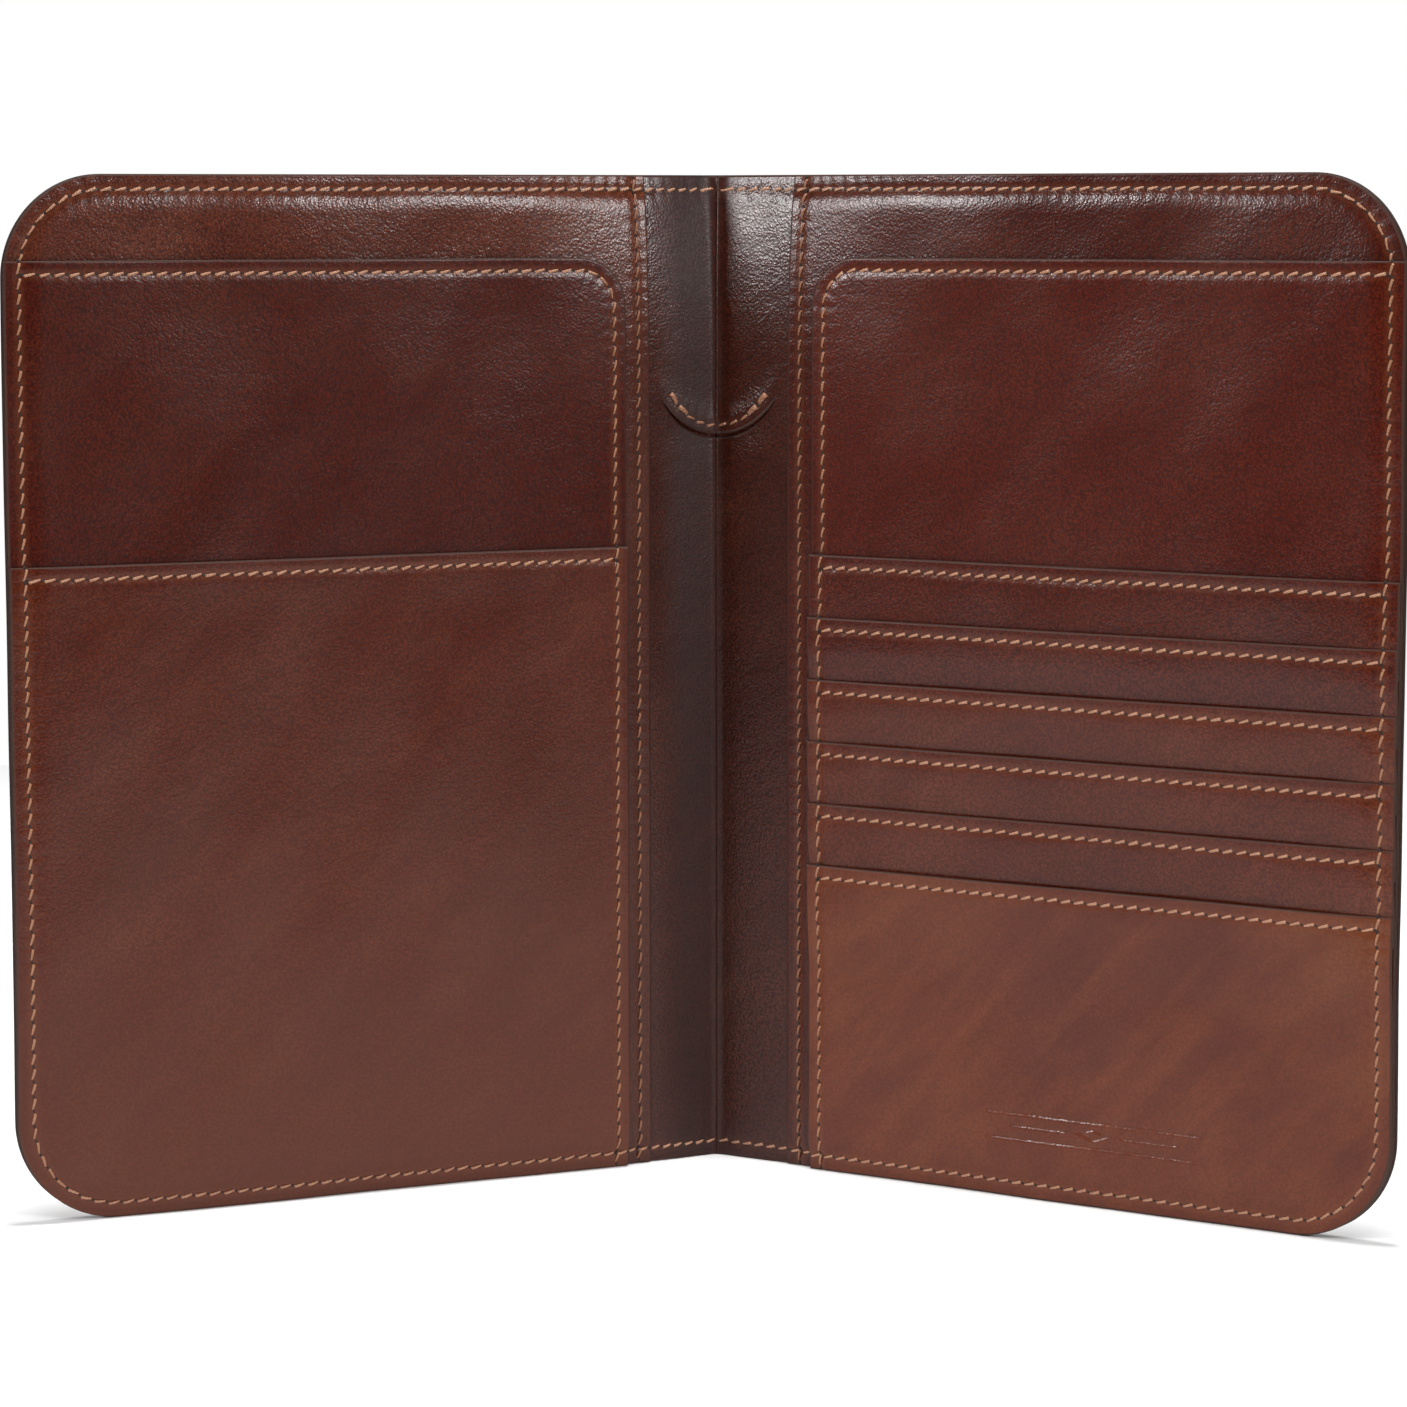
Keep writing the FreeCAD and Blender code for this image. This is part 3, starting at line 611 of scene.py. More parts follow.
def new_material(name):
    material = bpy.data.materials.new(name)
    material.use_nodes = True
    tree = material.node_tree
    return material, tree, tree.nodes["Principled BSDF"]


def node(tree, kind, inputs=None, **settings):
    """A new node, with its settings made, and its inputs linked or given a value."""
    made = tree.nodes.new(kind)
    for key, value in settings.items():
        setattr(made, key, value)
    for key, value in (inputs or {}).items():
        if isinstance(value, bpy.types.NodeSocket):
            tree.links.new(value, made.inputs[key])
        else:
            made.inputs[key].default_value = value
    return made


def maths(tree, operation, a, b):
    return node(tree, "ShaderNodeMath", {0: a, 1: b}, operation=operation).outputs[0]


def scaled(tree, value, by):
    return maths(tree, "MULTIPLY", value, by)


def plus(tree, value, more, share):
    """A value and a share of another one."""
    return maths(tree, "ADD", value, scaled(tree, more, share))


def vector_maths(tree, operation, a, b):
    return node(tree, "ShaderNodeVectorMath", {0: a, 1: b}, operation=operation).outputs[0]


def span(tree, value, low, high, to_low=0.0, to_high=1.0):
    """A value carried from one range to another, and held at its ends."""
    inputs = {"Value": value, "From Min": low, "From Max": high, "To Min": to_low, "To Max": to_high}
    return node(tree, "ShaderNodeMapRange", inputs).outputs["Result"]


def mix(tree, share, a, b):
    """One colour mixed with a share of another."""
    colours = [c if isinstance(c, bpy.types.NodeSocket) else (*c, 1.0) for c in (a, b)]
    made = node(tree, "ShaderNodeMix", {0: share, 6: colours[0], 7: colours[1]}, data_type="RGBA")
    return made.outputs[2]


def noise(tree, vector, scale, detail=3.0, rough=0.55, bend=0.0):
    inputs = {"Vector": vector, "Scale": scale, "Detail": detail, "Roughness": rough, "Distortion": bend}
    return node(tree, "ShaderNodeTexNoise", inputs).outputs["Fac"]


def stretched(tree, vector, turn, size):
    """Coordinates for a texture that is turned by some degrees, and drawn out by a size each way."""
    inputs = {
        "Vector": vector,
        "Rotation": (0.0, 0.0, math.radians(turn)),
        "Scale": tuple(1.0 / k for k in size),
    }
    return node(tree, "ShaderNodeMapping", inputs, vector_type="TEXTURE").outputs["Vector"]


def stored(tree, name, output="Fac"):
    """A value stored on a mesh's points."""
    return node(tree, "ShaderNodeAttribute", attribute_name=name).outputs[output]


def toned(colour, by):
    """A lighter or darker tone of a colour."""
    return tuple(by * c for c in colour)


def mottled(tree, skin, cloud, dark, middle, light, streak):
    """The stain's soft patches, and streaks that run aslant."""
    patch = noise(tree, stretched(tree, skin, 35.0, (0.06, 0.16, 0.1)), 1.0, 4.0, 0.6, 0.4)
    shade = span(tree, plus(tree, scaled(tree, cloud, 0.6), patch, 0.4), 0.36, 0.64)
    colour = mix(tree, span(tree, shade, 0.0, 0.5), dark, middle)
    colour = mix(tree, span(tree, shade, 0.5, 1.0), colour, light)
    streaks = noise(tree, stretched(tree, skin, 48.0, (0.016, 0.2, 0.1)), 1.0, 3.0, 0.6)
    streaks = scaled(tree, span(tree, streaks, 0.5, 0.72), streak)
    return mix(tree, streaks, colour, toned(light, 1.3))


def leather(name, dark, middle, light, grain=1.0, fleck=0.8, streak=0.1, paint=EDGE_PAINT,
            seam_tint=SEAM_TINT, below=1.0, foot=None, fold=0.0):
    """Glazed, hand-stained leather: mottled, with a fine grain, painted edges, and warmer beside stitching.

    below darkens all but the top as painted shade of the fold, foot lightens the lower part as painted light
    from the floor, and fold paints shade left of the crease.
    """
    material, tree, shader = new_material(name)
    skin = stored(tree, "skin", "Vector")
    edge = stored(tree, "edge")
    cloud = noise(tree, skin, 0.03, 3.0, 0.5, 0.5)
    colour = mottled(tree, skin, cloud, dark, middle, light, streak)
    # the grain: small pebbles between creases, and pores
    wobble = node(tree, "ShaderNodeTexNoise", {"Vector": skin, "Scale": 1.3, "Detail": 2.0}).outputs["Color"]
    bent = vector_maths(tree, "ADD", skin, vector_maths(tree, "MULTIPLY", wobble, (0.55, 0.55, 0.55)))
    pebble = node(tree, "ShaderNodeTexVoronoi", {"Vector": bent, "Scale": 2.4, "Smoothness": 0.3},
                  feature="SMOOTH_F1").outputs["Distance"]
    fine = noise(tree, skin, 6.5, 3.0, 0.65)
    coarse = noise(tree, stretched(tree, skin, 20.0, (0.16, 0.28, 0.2)), 1.0, 3.0, 0.55)
    speck = span(tree, plus(tree, scaled(tree, pebble, 0.9), fine, 0.5), 0.35, 0.85)
    colour = mix(tree, scaled(tree, speck, fleck), colour, toned(dark, 0.34))
    bright = span(tree, noise(tree, skin, 3.2, 3.0, 0.6), 0.52, 0.74)
    colour = mix(tree, scaled(tree, bright, 0.8 * fleck), colour, toned(light, 1.15))
    # a thinner finish beside the stitches, and paint on the cut edges
    colour = mix(tree, span(tree, stored(tree, "seam"), 0.3, 1.1, 0.2, 0.0), colour, seam_tint)
    painted = span(tree, edge, 0.10, 0.34, 1.0, 0.0)
    colour = mix(tree, painted, colour, paint)
    across, up, _ = node(tree, "ShaderNodeSeparateXYZ", {0: skin}).outputs
    # painted shade: below 142 mm the colour darkens, fully by 118 mm, where the fold shades the leather
    if below < 1.0:
        colour = mix(tree, span(tree, up, 118.0, 142.0, 1.0 - below, 0.0), colour, LOWER_SHADE)
    # painted light: the lower part is mixed towards a lighter tone, for light reflected from the floor
    if foot:
        colour = mix(tree, span(tree, up, 5.0, 75.0, 0.5, 0.0), colour, foot)
    gloss = plus(tree, span(tree, cloud, 0.35, 0.65, ROUGH - 0.05, ROUGH), speck, 0.06)
    gloss = plus(tree, gloss, painted, 0.35)
    # painted shade: darkens the leather from 11 mm left of the centre to 3 mm right of it, where the fold
    # shades it, and makes it rougher
    if fold:
        beside = scaled(tree, span(tree, across, -11.0, -6.0), span(tree, across, -2.0, 3.0, 1.0, 0.0))
        colour = mix(tree, scaled(tree, beside, fold), colour, FOLD_SHADE)
        gloss = plus(tree, gloss, beside, 0.22)
    tree.links.new(colour, shader.inputs["Base Color"])
    tree.links.new(gloss, shader.inputs["Roughness"])
    shader.inputs["Specular IOR Level"].default_value = SPECULAR
    height = plus(tree, scaled(tree, pebble, -1.0), fine, 0.16)
    height = scaled(tree, height, span(tree, coarse, 0.3, 0.7, 0.55, 1.0))
    height = scaled(tree, height, span(tree, edge, 0.1, 0.6, 0.15, 1.0))
    bump = node(tree, "ShaderNodeBump", {"Height": height, "Strength": 0.6 * grain, "Distance": 0.00005})
    slow = node(tree, "ShaderNodeBump", {"Height": coarse, "Strength": 0.3, "Distance": 0.00022,
                                         "Normal": bump.outputs["Normal"]})
    tree.links.new(slow.outputs["Normal"], shader.inputs["Normal"])
    return material


def thread(name, base, dark):
    """Waxed two-ply thread."""
    material, tree, shader = new_material(name)
    skin = stored(tree, "skin", "Vector")
    ply = node(tree, "ShaderNodeTexWave", {
        "Vector": stretched(tree, skin, -32.0, (1.0, 1.0, 1.0)), "Scale": 1.35, "Distortion": 0.6,
        "Detail": 1.0, "Detail Scale": 2.0,
    }).outputs["Fac"]
    fibre = noise(tree, stretched(tree, skin, -32.0, (2.0, 14.0, 3.0)), 1.0, 3.0, 0.6)
    share = plus(tree, scaled(tree, ply, 0.6), fibre, 0.4)
    tree.links.new(mix(tree, span(tree, share, 0.2, 0.75), dark, base), shader.inputs["Base Color"])
    shader.inputs["Roughness"].default_value = 0.5
    shader.inputs["Sheen Weight"].default_value = 0.15
    bump = node(tree, "ShaderNodeBump", {"Height": share, "Strength": 0.6, "Distance": 0.00008})
    tree.links.new(bump.outputs["Normal"], shader.inputs["Normal"])
    return material


def plain(name, base, other, scale, rough):
    """A dull material with some variation, for what is hidden or dark."""
    material, tree, shader = new_material(name)
    speck = noise(tree, node(tree, "ShaderNodeTexCoord").outputs["Object"], scale, 4.0, 0.6)
    tree.links.new(mix(tree, speck, base, other), shader.inputs["Base Color"])
    shader.inputs["Roughness"].default_value = rough
    bump = node(tree, "ShaderNodeBump", {"Height": speck, "Strength": 0.3, "Distance": 0.0002})
    tree.links.new(bump.outputs["Normal"], shader.inputs["Normal"])
    return material


# POCKET's sides are shaded and lit copies of one leather: the left one painted darker, the right one lighter
POCKET = {
    "left": leather("tall_pocket_leather_left", (0.0567, 0.0059, 0.0024), (0.0751, 0.0084, 0.0034),
                    (0.0892, 0.0146, 0.0052), grain=0.9),
    "right": leather("tall_pocket_leather_right", (0.0730, 0.0071, 0.0031), (0.0933, 0.0107, 0.0042),
                     (0.1055, 0.0170, 0.0062), grain=0.9),
}
# the short pocket's lighter foot is painted light from the floor
SHORT = leather("short_pocket_leather", (0.0637, 0.0072, 0.0026), (0.0839, 0.0117, 0.0041),
                (0.1130, 0.0233, 0.0083), grain=0.9, fleck=0.65, foot=(0.104, 0.0260, 0.0095))
# CARD_UPPER, CARD and FRONT are one leather made lighter down the leaf: partly its own tone, partly painted
# light from the floor
CARD_UPPER = leather("card_pocket_leather_upper", (0.0670, 0.0071, 0.0029), (0.0857, 0.0107, 0.0040),
                     (0.1098, 0.0184, 0.0068), grain=0.9)
CARD = leather("card_pocket_leather", (0.0765, 0.0108, 0.0040), (0.1006, 0.0166, 0.0064),
               (0.1286, 0.0271, 0.0096), grain=0.9, fleck=0.65)
FRONT = leather("card_front_leather", (0.0898, 0.0154, 0.0050), (0.1197, 0.0246, 0.0081),
                (0.1464, 0.0377, 0.0125), grain=0.8, fleck=0.35, streak=0.3)
# LINING's sides are lit and shaded copies of one leather: the left one painted lighter, for the light near
# its top, the right one darker
LINING = {
    # below=0.45 paints shade on the left lining below its top
    "left": leather("lining_leather_left", (0.0850, 0.0153, 0.0071), (0.1199, 0.0270, 0.0130),
                    (0.1700, 0.0446, 0.0197), below=0.45),
    "right": leather("lining_leather_right", (0.0530, 0.0062, 0.0028), (0.0707, 0.0091, 0.0040),
                     (0.1021, 0.0174, 0.0066)),
}
# fold=0.5 paints shade left of the crease
SPINE = leather("spine_leather", (0.0371, 0.0056, 0.0025), (0.0567, 0.0098, 0.0042), (0.0850, 0.0186, 0.0077),
                grain=0.95, fold=0.5, seam_tint=(0.0981, 0.0260, 0.0101))
COVER = leather("cover_leather", (0.068, 0.0088, 0.0036), (0.100, 0.0150, 0.0058), (0.140, 0.0280, 0.0100),
                paint=(0.032, 0.016, 0.010))
THREAD = thread("thread_light", (0.53, 0.275, 0.155), (0.18, 0.060, 0.026))
SEAM_THREAD = thread("thread_seam", (0.34, 0.14, 0.062), (0.12, 0.036, 0.015))
SIDE_THREAD = thread("thread_side", (0.44, 0.205, 0.10), (0.15, 0.046, 0.019))
# painted shade: the needle holes' near-black colour stands in for the shade inside them
HOLE_SHADE = plain("needle_hole", (0.010, 0.004, 0.003), (0.02, 0.008, 0.005), 3000.0, 0.8)
BOARD = plain("bonded_board", (0.22, 0.15, 0.10), (0.30, 0.22, 0.15), 900.0, 0.85)
CLOTH = plain("pocket_cloth", (0.030, 0.014, 0.010), (0.05, 0.024, 0.017), 2500.0, 0.9)
GLUE = plain("contact_cement", (0.30, 0.22, 0.12), (0.42, 0.33, 0.2), 700.0, 0.55)


# ---- what rides on what


def stand_for(nodes):
    """Hides the CAD nodes that a piece stands for."""
    if nodes:
        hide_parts(*nodes)


def on_leaf(obj, side, slot, *nodes):
    """A piece that moves with a leaf and stands for some CAD nodes."""
    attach(obj, side + "_leaf")
    stand_for(nodes)


def across_fold(obj, side, slot, *nodes, crown=()):
    """Half a piece, shaped round the fold, whose transform is baked into its points. The left half also
    stands for the crown.
    """
    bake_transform(obj)
    stand_for(nodes + crown if side == "left" else nodes)


def sew_leaf(name, side, rows, level, *nodes, material=THREAD, radius=STITCH_RADIUS):
    """Stitches that move with a leaf."""
    on_leaf(sew(name, side, rows, level, material, radius=radius), side, "thread", *nodes)


# ---- cover and spine


def build_cover(side):
    """Half of the outer cover, with the outside of the edge stitching."""
    outside = [edge_row(0.0, HEIGHT / 2, None, COVER_BED), edge_row(0.0, None, HEIGHT / 2, COVER_BED)]
    us = ticks(0.0, REACH, 0.62, [(0.0, 6.0, 0.35)], rims="b", rim=0.9)
    zs = ticks(0.0, HEIGHT, 0.62, rim=0.9)

    back = at_level(side, COVER_BACK)
    obj = sheet("cover_" + side, side, us, zs, (0.0, REACH, 0.0, HEIGHT, (0, CORNER, CORNER, 0)),
                at_level(side, COVER_FACE),
                lambda u, z: back(u, z) - sum(row.relief(u, z) for row in outside),
                COVER, "rbt", outside, skin=11.0)
    across_fold(obj, side, "outer_leather", "outer_cover_" + side, crown=("outer_cover_spine",))
    stitches = sew("edge_stitches_outside_" + side, side, outside, raised(back, 0.12), THREAD, outward=-1.0)
    across_fold(stitches, side, "thread")


def slit_z(u):
    """The height of the slit at a distance u from the centre."""
    reach = np.clip(np.abs(u), 0.0, SLIT_RADIUS * 0.999)
    return SLIT_FOOT + SLIT_RADIUS - np.sqrt(SLIT_RADIUS**2 - reach**2)


def strip_level(side, u, z, lip=0):
    """The strip's face, with the slit's upper lip raised if lip is 1, or its lower lip sunk if it is -1."""
    above = z - slit_z(u)
    raised = np.exp(-(((above - 1.6) / 2.6) ** 2)) * smooth((SLIT_HALF + 1.5 - u) / 5.0) * (above > 0)
    sunk = np.exp(-((above / 3.2) ** 2)) * smooth((SLIT_HALF + 1.0 - u) / 5.0)
    lift = {1: 0.30 * raised, 0: 0.0, -1: -0.2 * sunk}[lip]
    return stack(side, u, z, 0.0) + lift


def strip_grid(side, us, foot, top, count, lip, rows):
    """The part of the strip below or above the slit: u, z, face, back, and how near its edges are.

    The grid's lines across run evenly from one height to another at each u.
    """
    t = np.linspace(0.0, 1.0, count)
    t = smooth(t) * 0.35 + t * 0.65
    u = np.repeat(us[:, None], count, 1)
    z = foot[:, None] + (top - foot)[:, None] * t[None, :]
    to_slit = np.abs(z - (foot if lip > 0 else top)[:, None])
    d = box_distance(u, z, 0.0, STRIP_END, 0.0, HEIGHT, sides="rbt")
    d = np.where(u < SLIT_HALF, np.minimum(d, to_slit), d)
    level = strip_level(side, u, z, lip)
    high = level + sum(row.relief(u, z) for row in rows)
    high, low = rounded(high, level + STRIP_BACK, -STRIP_BACK, d)
    return u, z, high, low, d


LOWER_COLUMNS, UPPER_COLUMNS = 330, 150


def build_strip(side):
    """Half of the spine strip. Its grid follows the pen slit, whose two lips part a little."""
    us = ticks(0.0, STRIP_END, 0.30, [(SLIT_HALF - 0.8, SLIT_HALF + 0.4, 0.08)], rims="b")
    slit_top = slit_z(np.minimum(us, SLIT_HALF))
    gap = 0.52 * np.sqrt(np.clip(1.0 - (us / SLIT_HALF) ** 4, 0.0, 1.0)) + 0.04
    gap = np.where(us >= SLIT_HALF, 0.0, gap)
    end_rows = [Row(u_line(z, 0.0, PANEL_START - 0.1), bed=STRIP_BED) for z in (TOP_Z, END_ROW)]
    slit_centre = (0.0, SLIT_FOOT + SLIT_RADIUS)
    row_radius = SLIT_RADIUS - SLIT_ROW
    slit_row = Row(("arc", slit_centre, row_radius, -QUARTER, -QUARTER + math.asin(8.4 / row_radius)),
                   bed=STRIP_BED)
    rows = end_rows + [slit_row]
    lower = strip_grid(side, us, 0.0 * us, slit_top - gap / 2, LOWER_COLUMNS, -1, rows)
    upper = strip_grid(side, us, slit_top + gap / 2, 0.0 * us + HEIGHT, UPPER_COLUMNS, 1, rows)
    points, skins, edges, seams, faces = [], [], [], [], []
    first = 0
    for (u, z, high, low, d), slit_column in ((lower, LOWER_COLUMNS - 1), (upper, 0)):
        near = np.minimum.reduce([row.near(u, z)[0] for row in rows])
        for w in (high, low):
            points.append(place(side, u, z, w).reshape(-1, 3))
            skins.append(np.stack([u * SIDES[side], z, w + 5.0], -1).reshape(-1, 3))
            edges.append(np.clip(d, 0, 9).ravel())
            seams.append(near.ravel())
        columns = u.shape[1]

        def is_open(*ends):
            """Beyond the slit's end the two parts are one, with no wall between them."""
            return np.all([(us[e // columns] >= SLIT_HALF) & (e % columns == slit_column) for e in ends], 0)

        faces.append(shell_faces(len(us), columns, is_open) + first)
        first += 2 * u.size
    obj = skin_object("spine_strip_" + side + "_half", side, np.concatenate(points), np.concatenate(faces),
                      np.concatenate(skins), np.concatenate(edges), np.concatenate(seams), SPINE)
    weld(obj)
    crisp_fold(obj)
    across_fold(obj, side, "spine_leather", "spine_strip_" + side, crown=("spine_strip_crown",))

    ends = sew("edge_stitches_spine_" + side, side, end_rows, raised(at_level(side, 0.0), -SUNK), THREAD)
    across_fold(ends, side, "thread", crown=("edge_thread_spine",))
    slit = sew("slit_stitches_" + side, side, [slit_row], lambda u, z: strip_level(side, u, z, 1) - SUNK,
               SEAM_THREAD)
    across_fold(slit, side, "thread", "pen_slit_thread_" + side, crown=("pen_slit_thread_crown",))
    turns = [math.asin(u / row_radius) - QUARTER for u in (5.3, 8.7)]
    tack_row = Row(("arc", slit_centre, SLIT_RADIUS - 1.75, *turns), pitch=2.3)
    tack = sew("slit_tack_" + side, side, [tack_row], lambda u, z: strip_level(side, u, z, 1), SEAM_THREAD,
               radius=0.42)
    across_fold(tack, side, "thread")


# ---- linings and pockets


def top_ripples(u, z):
    """The puckers between the row of stitching and the wallet's top edge, strongest near the fold."""
    row = Row(u_line(TOP_Z, POCKET_START, REACH - CORNER))
    _, s = row.near(u, z)
    above = smooth((z - TOP_Z - 0.2) / 0.9)
    wave = 0.5 - 0.5 * np.cos(2 * math.pi * (s / row.pitch + 0.25))
    fade = 0.12 + 0.88 * np.exp(-((u - 18.0) / 26.0) ** 2)
    return 0.09 * above * wave * fade


def build_lining(side):
    """A lining panel with its seam. Returns the rows of the edge stitching on it, and their level."""
    seam = Row(z_line(SEAM_AT, ROW_START, HEIGHT - ROW_START), bed=SEAM_BED)
    upper = edge_row(PANEL_START + 0.3, None, TALL_TOP, LINING_BED)
    margin = Row(u_line(END_ROW, PANEL_START + 0.3, POCKET_START), bed=MARGIN_BED)
    rows = [seam, upper, margin]
    us = ticks(PANEL_START, REACH, 0.6, [(PANEL_START, 18.0, 0.32)])
    zs = ticks(0.0, HEIGHT, 0.6, [(30.0, 100.0, 0.62), (148.0, HEIGHT, 0.34)])

    face = at_level(side, LINING_FACE)
    front = bedded(face, rows)
    obj = sheet("lining_" + side, side, us, zs, (PANEL_START, REACH, 0.0, HEIGHT, (0, CORNER, CORNER, 0)),
                lambda u, z: front(u, z) + top_ripples(u, z), at_level(side, 0.0), LINING[side], rows=rows)
    on_leaf(obj, side, "lining_leather", "lining_panel_" + side)
    sew_leaf("seam_stitches_" + side, side, [seam], raised(face, -0.06), "seam_thread_" + side,
             material=SEAM_THREAD, radius=0.21)
    return [upper, margin], raised(face, -SUNK)


def free_share(u, margin, reach):
    """How freely a pocket's mouth stands open between the rows down its sides: from 0 beside a row to 1."""
    inset = np.minimum(u - SIDE_ROW - margin, EDGE_U - margin - u)
    return 1.0 - np.exp(-((np.clip(inset, 0.0, None) / reach) ** 2))


def mouth(side, w, top, lift):
    """A pocket's level, with its mouth standing a little open, as a function of u and z."""
    return lambda u, z: stack(side, u, z, w) + lift * free_share(u, 0.4, 8.0) * smooth((z - top + 9.0) / 9.0)


def build_tall_pocket(side):
    """A tall pocket. Returns its row of stitching, the edge stitching on it, and their level."""
    r = TALL_CORNER - MOUTH_ROW
    stitch_top = TALL_TOP - MOUTH_ROW
    covered = SHORT_TOP if side == "left" else CARD_TOP
    bend = Row(
        z_line(SIDE_ROW, covered, stitch_top - r),
        ("arc", (SIDE_ROW + r, stitch_top - r), r, 2 * QUARTER, QUARTER),
        u_line(stitch_top, SIDE_ROW + r, EDGE_U - 0.5),
        bed=BEND_BED,
    )
    outer = Row(z_line(EDGE_U, covered, TALL_TOP), bed=SIDE_BED)
    rows = [bend, outer]
    us = ticks(POCKET_START, REACH, 0.6, [(POCKET_START, 25.0, 0.34)])
    zs = ticks(0.0, TALL_TOP, 0.55, [(0.0, 88.0, 2.4), (132.0, TALL_TOP, 0.34)])

    face = mouth(side, TALL_FACE, TALL_TOP, 0.10)
    outline = (POCKET_START, REACH, 0.0, TALL_TOP, (0, CORNER, 0, TALL_CORNER))
    obj = sheet("tall_pocket_skin_" + side, side, us, zs, outline, bedded(face, rows),
                mouth(side, TALL_BACK, TALL_TOP, 0.10), POCKET[side], rows=rows)
    on_leaf(obj, side, "pocket_leather", "tall_pocket_" + side)
    return bend, outer, raised(face, -SUNK)


def front_rows(top):
    """The rows on a pocket that reaches the wallet's foot: at its mouth, down its inner side, and round."""
    return [
        Row(u_line(top - MOUTH_ROW, SIDE_ROW + 0.3, EDGE_U - 0.3), bed=MOUTH_BED),
        Row(z_line(SIDE_ROW, ROW_START, top), bed=SIDE_BED),
        edge_row(POCKET_START, top, None, SIDE_BED),
    ]


def build_left_leaf():
    """The left lining and pockets."""
    side = "left"
    lining_rows, lining_level = build_lining(side)
    bend, outer, tall_level = build_tall_pocket(side)
    rows = front_rows(SHORT_TOP)
    row, side_row, foot_row = rows
    us = ticks(POCKET_START, REACH, 0.55, [(POCKET_START, 21.0, 0.34)])
    zs = ticks(0.0, SHORT_TOP, 0.55, [(0.0, 4.5, 0.34), (90.0, SHORT_TOP, 0.34)])

    face = mouth(side, SHORT_FACE, SHORT_TOP, 0.16)
    sewn = raised(face, -SUNK)
    outline = (POCKET_START, REACH, 0.0, SHORT_TOP, (0, CORNER, 0, 0))
    obj = sheet("short_pocket_skin", side, us, zs, outline, bedded(face, rows),
                mouth(side, SHORT_BACK, SHORT_TOP, 0.16), SHORT, rows=rows)
    on_leaf(obj, side, "pocket_leather", "short_pocket_left")
    sew_leaf("short_pocket_stitches", side, [row], sewn, "short_pocket_thread")
    sew_leaf("tall_pocket_stitches_left", side, [bend], tall_level, "tall_pocket_thread_left")
    sew_leaf("tall_pocket_stitches_left_foot", side, [side_row], sewn)
    sew_leaf("edge_stitches_left_top", side, lining_rows, lining_level, "edge_thread_left")
    sew_leaf("edge_stitches_left_side", side, [outer], tall_level)
    sew_leaf("edge_stitches_left_foot", side, [foot_row], sewn)


# ---- card pockets


LIFTS = [0.05, 0.33, 0.42, 0.38, 0.30]  # how far each card facing's mouth stands open


def facing_foot(number):
    return CARD_TOP - CARD_PITCH * (number - 1) - FACING


def facing_back(number, u, z):
    """The level of the back of a card facing, which lies on the one above it and leans out over it."""
    s = z - facing_foot(number)
    climb = 0.08 if number == 1 else 0.56
    level = 1.5 + climb * smooth((s - 3.5) / 6.0)
    lift = LIFTS[number - 1] * (1.0 + 0.18 * np.sin(u / 13.0 + 1.3 * number))
    return stack("right", u, z, level) + lift * free_share(u, 0.2, 6.0) * smooth((s - 4.0) / 9.5)


def front_back(u, z):
    """The level of the back of the front card panel."""
    level = 1.42 + 0.64 * smooth((z - 31.0) / 11.0)
    lift = 0.34 * (1.0 + 0.15 * np.sin(u / 15.0 + 2.0)) * free_share(u, 0.2, 6.0)
    return stack("right", u, z, level) + lift * smooth((z - FRONT_TOP + 11.0) / 11.0)


def build_card_facing(number):
    """A card facing, its row of stitches, and its shares of the rows down the sides."""
    side = "right"
    foot = facing_foot(number)
    top = CARD_TOP - CARD_PITCH * (number - 1)
    row = Row(u_line(top - MOUTH_ROW, SIDE_ROW + 0.3, EDGE_U - 0.3), bed=MOUTH_BED)
    side_rows = [Row(z_line(u, top - CARD_PITCH, top), bed=FACING_SIDE_BED) for u in (SIDE_ROW, EDGE_U)]
    rows = [row] + side_rows
    us = ticks(POCKET_START, REACH, 0.5, [(POCKET_START, 22.0, 0.34)], rim=0.4)
    zs = ticks(foot, top, 0.34, rim=0.4)

    def back(u, z):
        return facing_back(number, u, z)

    sewn = raised(back, FACING_THICK - SUNK)
    # the two upper facings take CARD_UPPER, the shaded copy
    obj = sheet(f"card_facing_skin_{number}", side, us, zs, (POCKET_START, REACH, foot, top, (0, 0, 0, 0)),
                bedded(raised(back, FACING_THICK), rows), back, CARD_UPPER if number < 3 else CARD,
                rows=rows, skin=120.0 + 3.0 * number)
    on_leaf(obj, side, "pocket_leather", f"card_facing_{number}")
    sew_leaf(f"card_stitches_{number}", side, [row], sewn, f"card_thread_{number}")
    sew_leaf(f"card_side_stitches_{number}", side, [side_rows[0]], sewn)
    sew_leaf(f"card_edge_stitches_{number}", side, [side_rows[1]], sewn)


def ornament(u, z):
    """Two blind-tooled rules with a small lozenge between them, pressed into the front panel."""
    across = np.abs(u - 66.5)
    up = z - 11.0
    ends = smooth((18.5 - across) / 0.8)
    rules = sum(np.exp(-(((up - offset) / 0.34) ** 2)) for offset in (-1.9, 1.9)) * ends
    lozenge = across / 2.6 + np.abs(up)
    line = np.exp(-(((lozenge - 0.85) / 0.22) ** 2))
    dashes = np.exp(-((up / 0.24) ** 2)) * smooth((across - 4.2) / 0.6) * smooth((14.5 - across) / 0.8)
    return -0.115 * rules - 0.12 * line - 0.10 * dashes


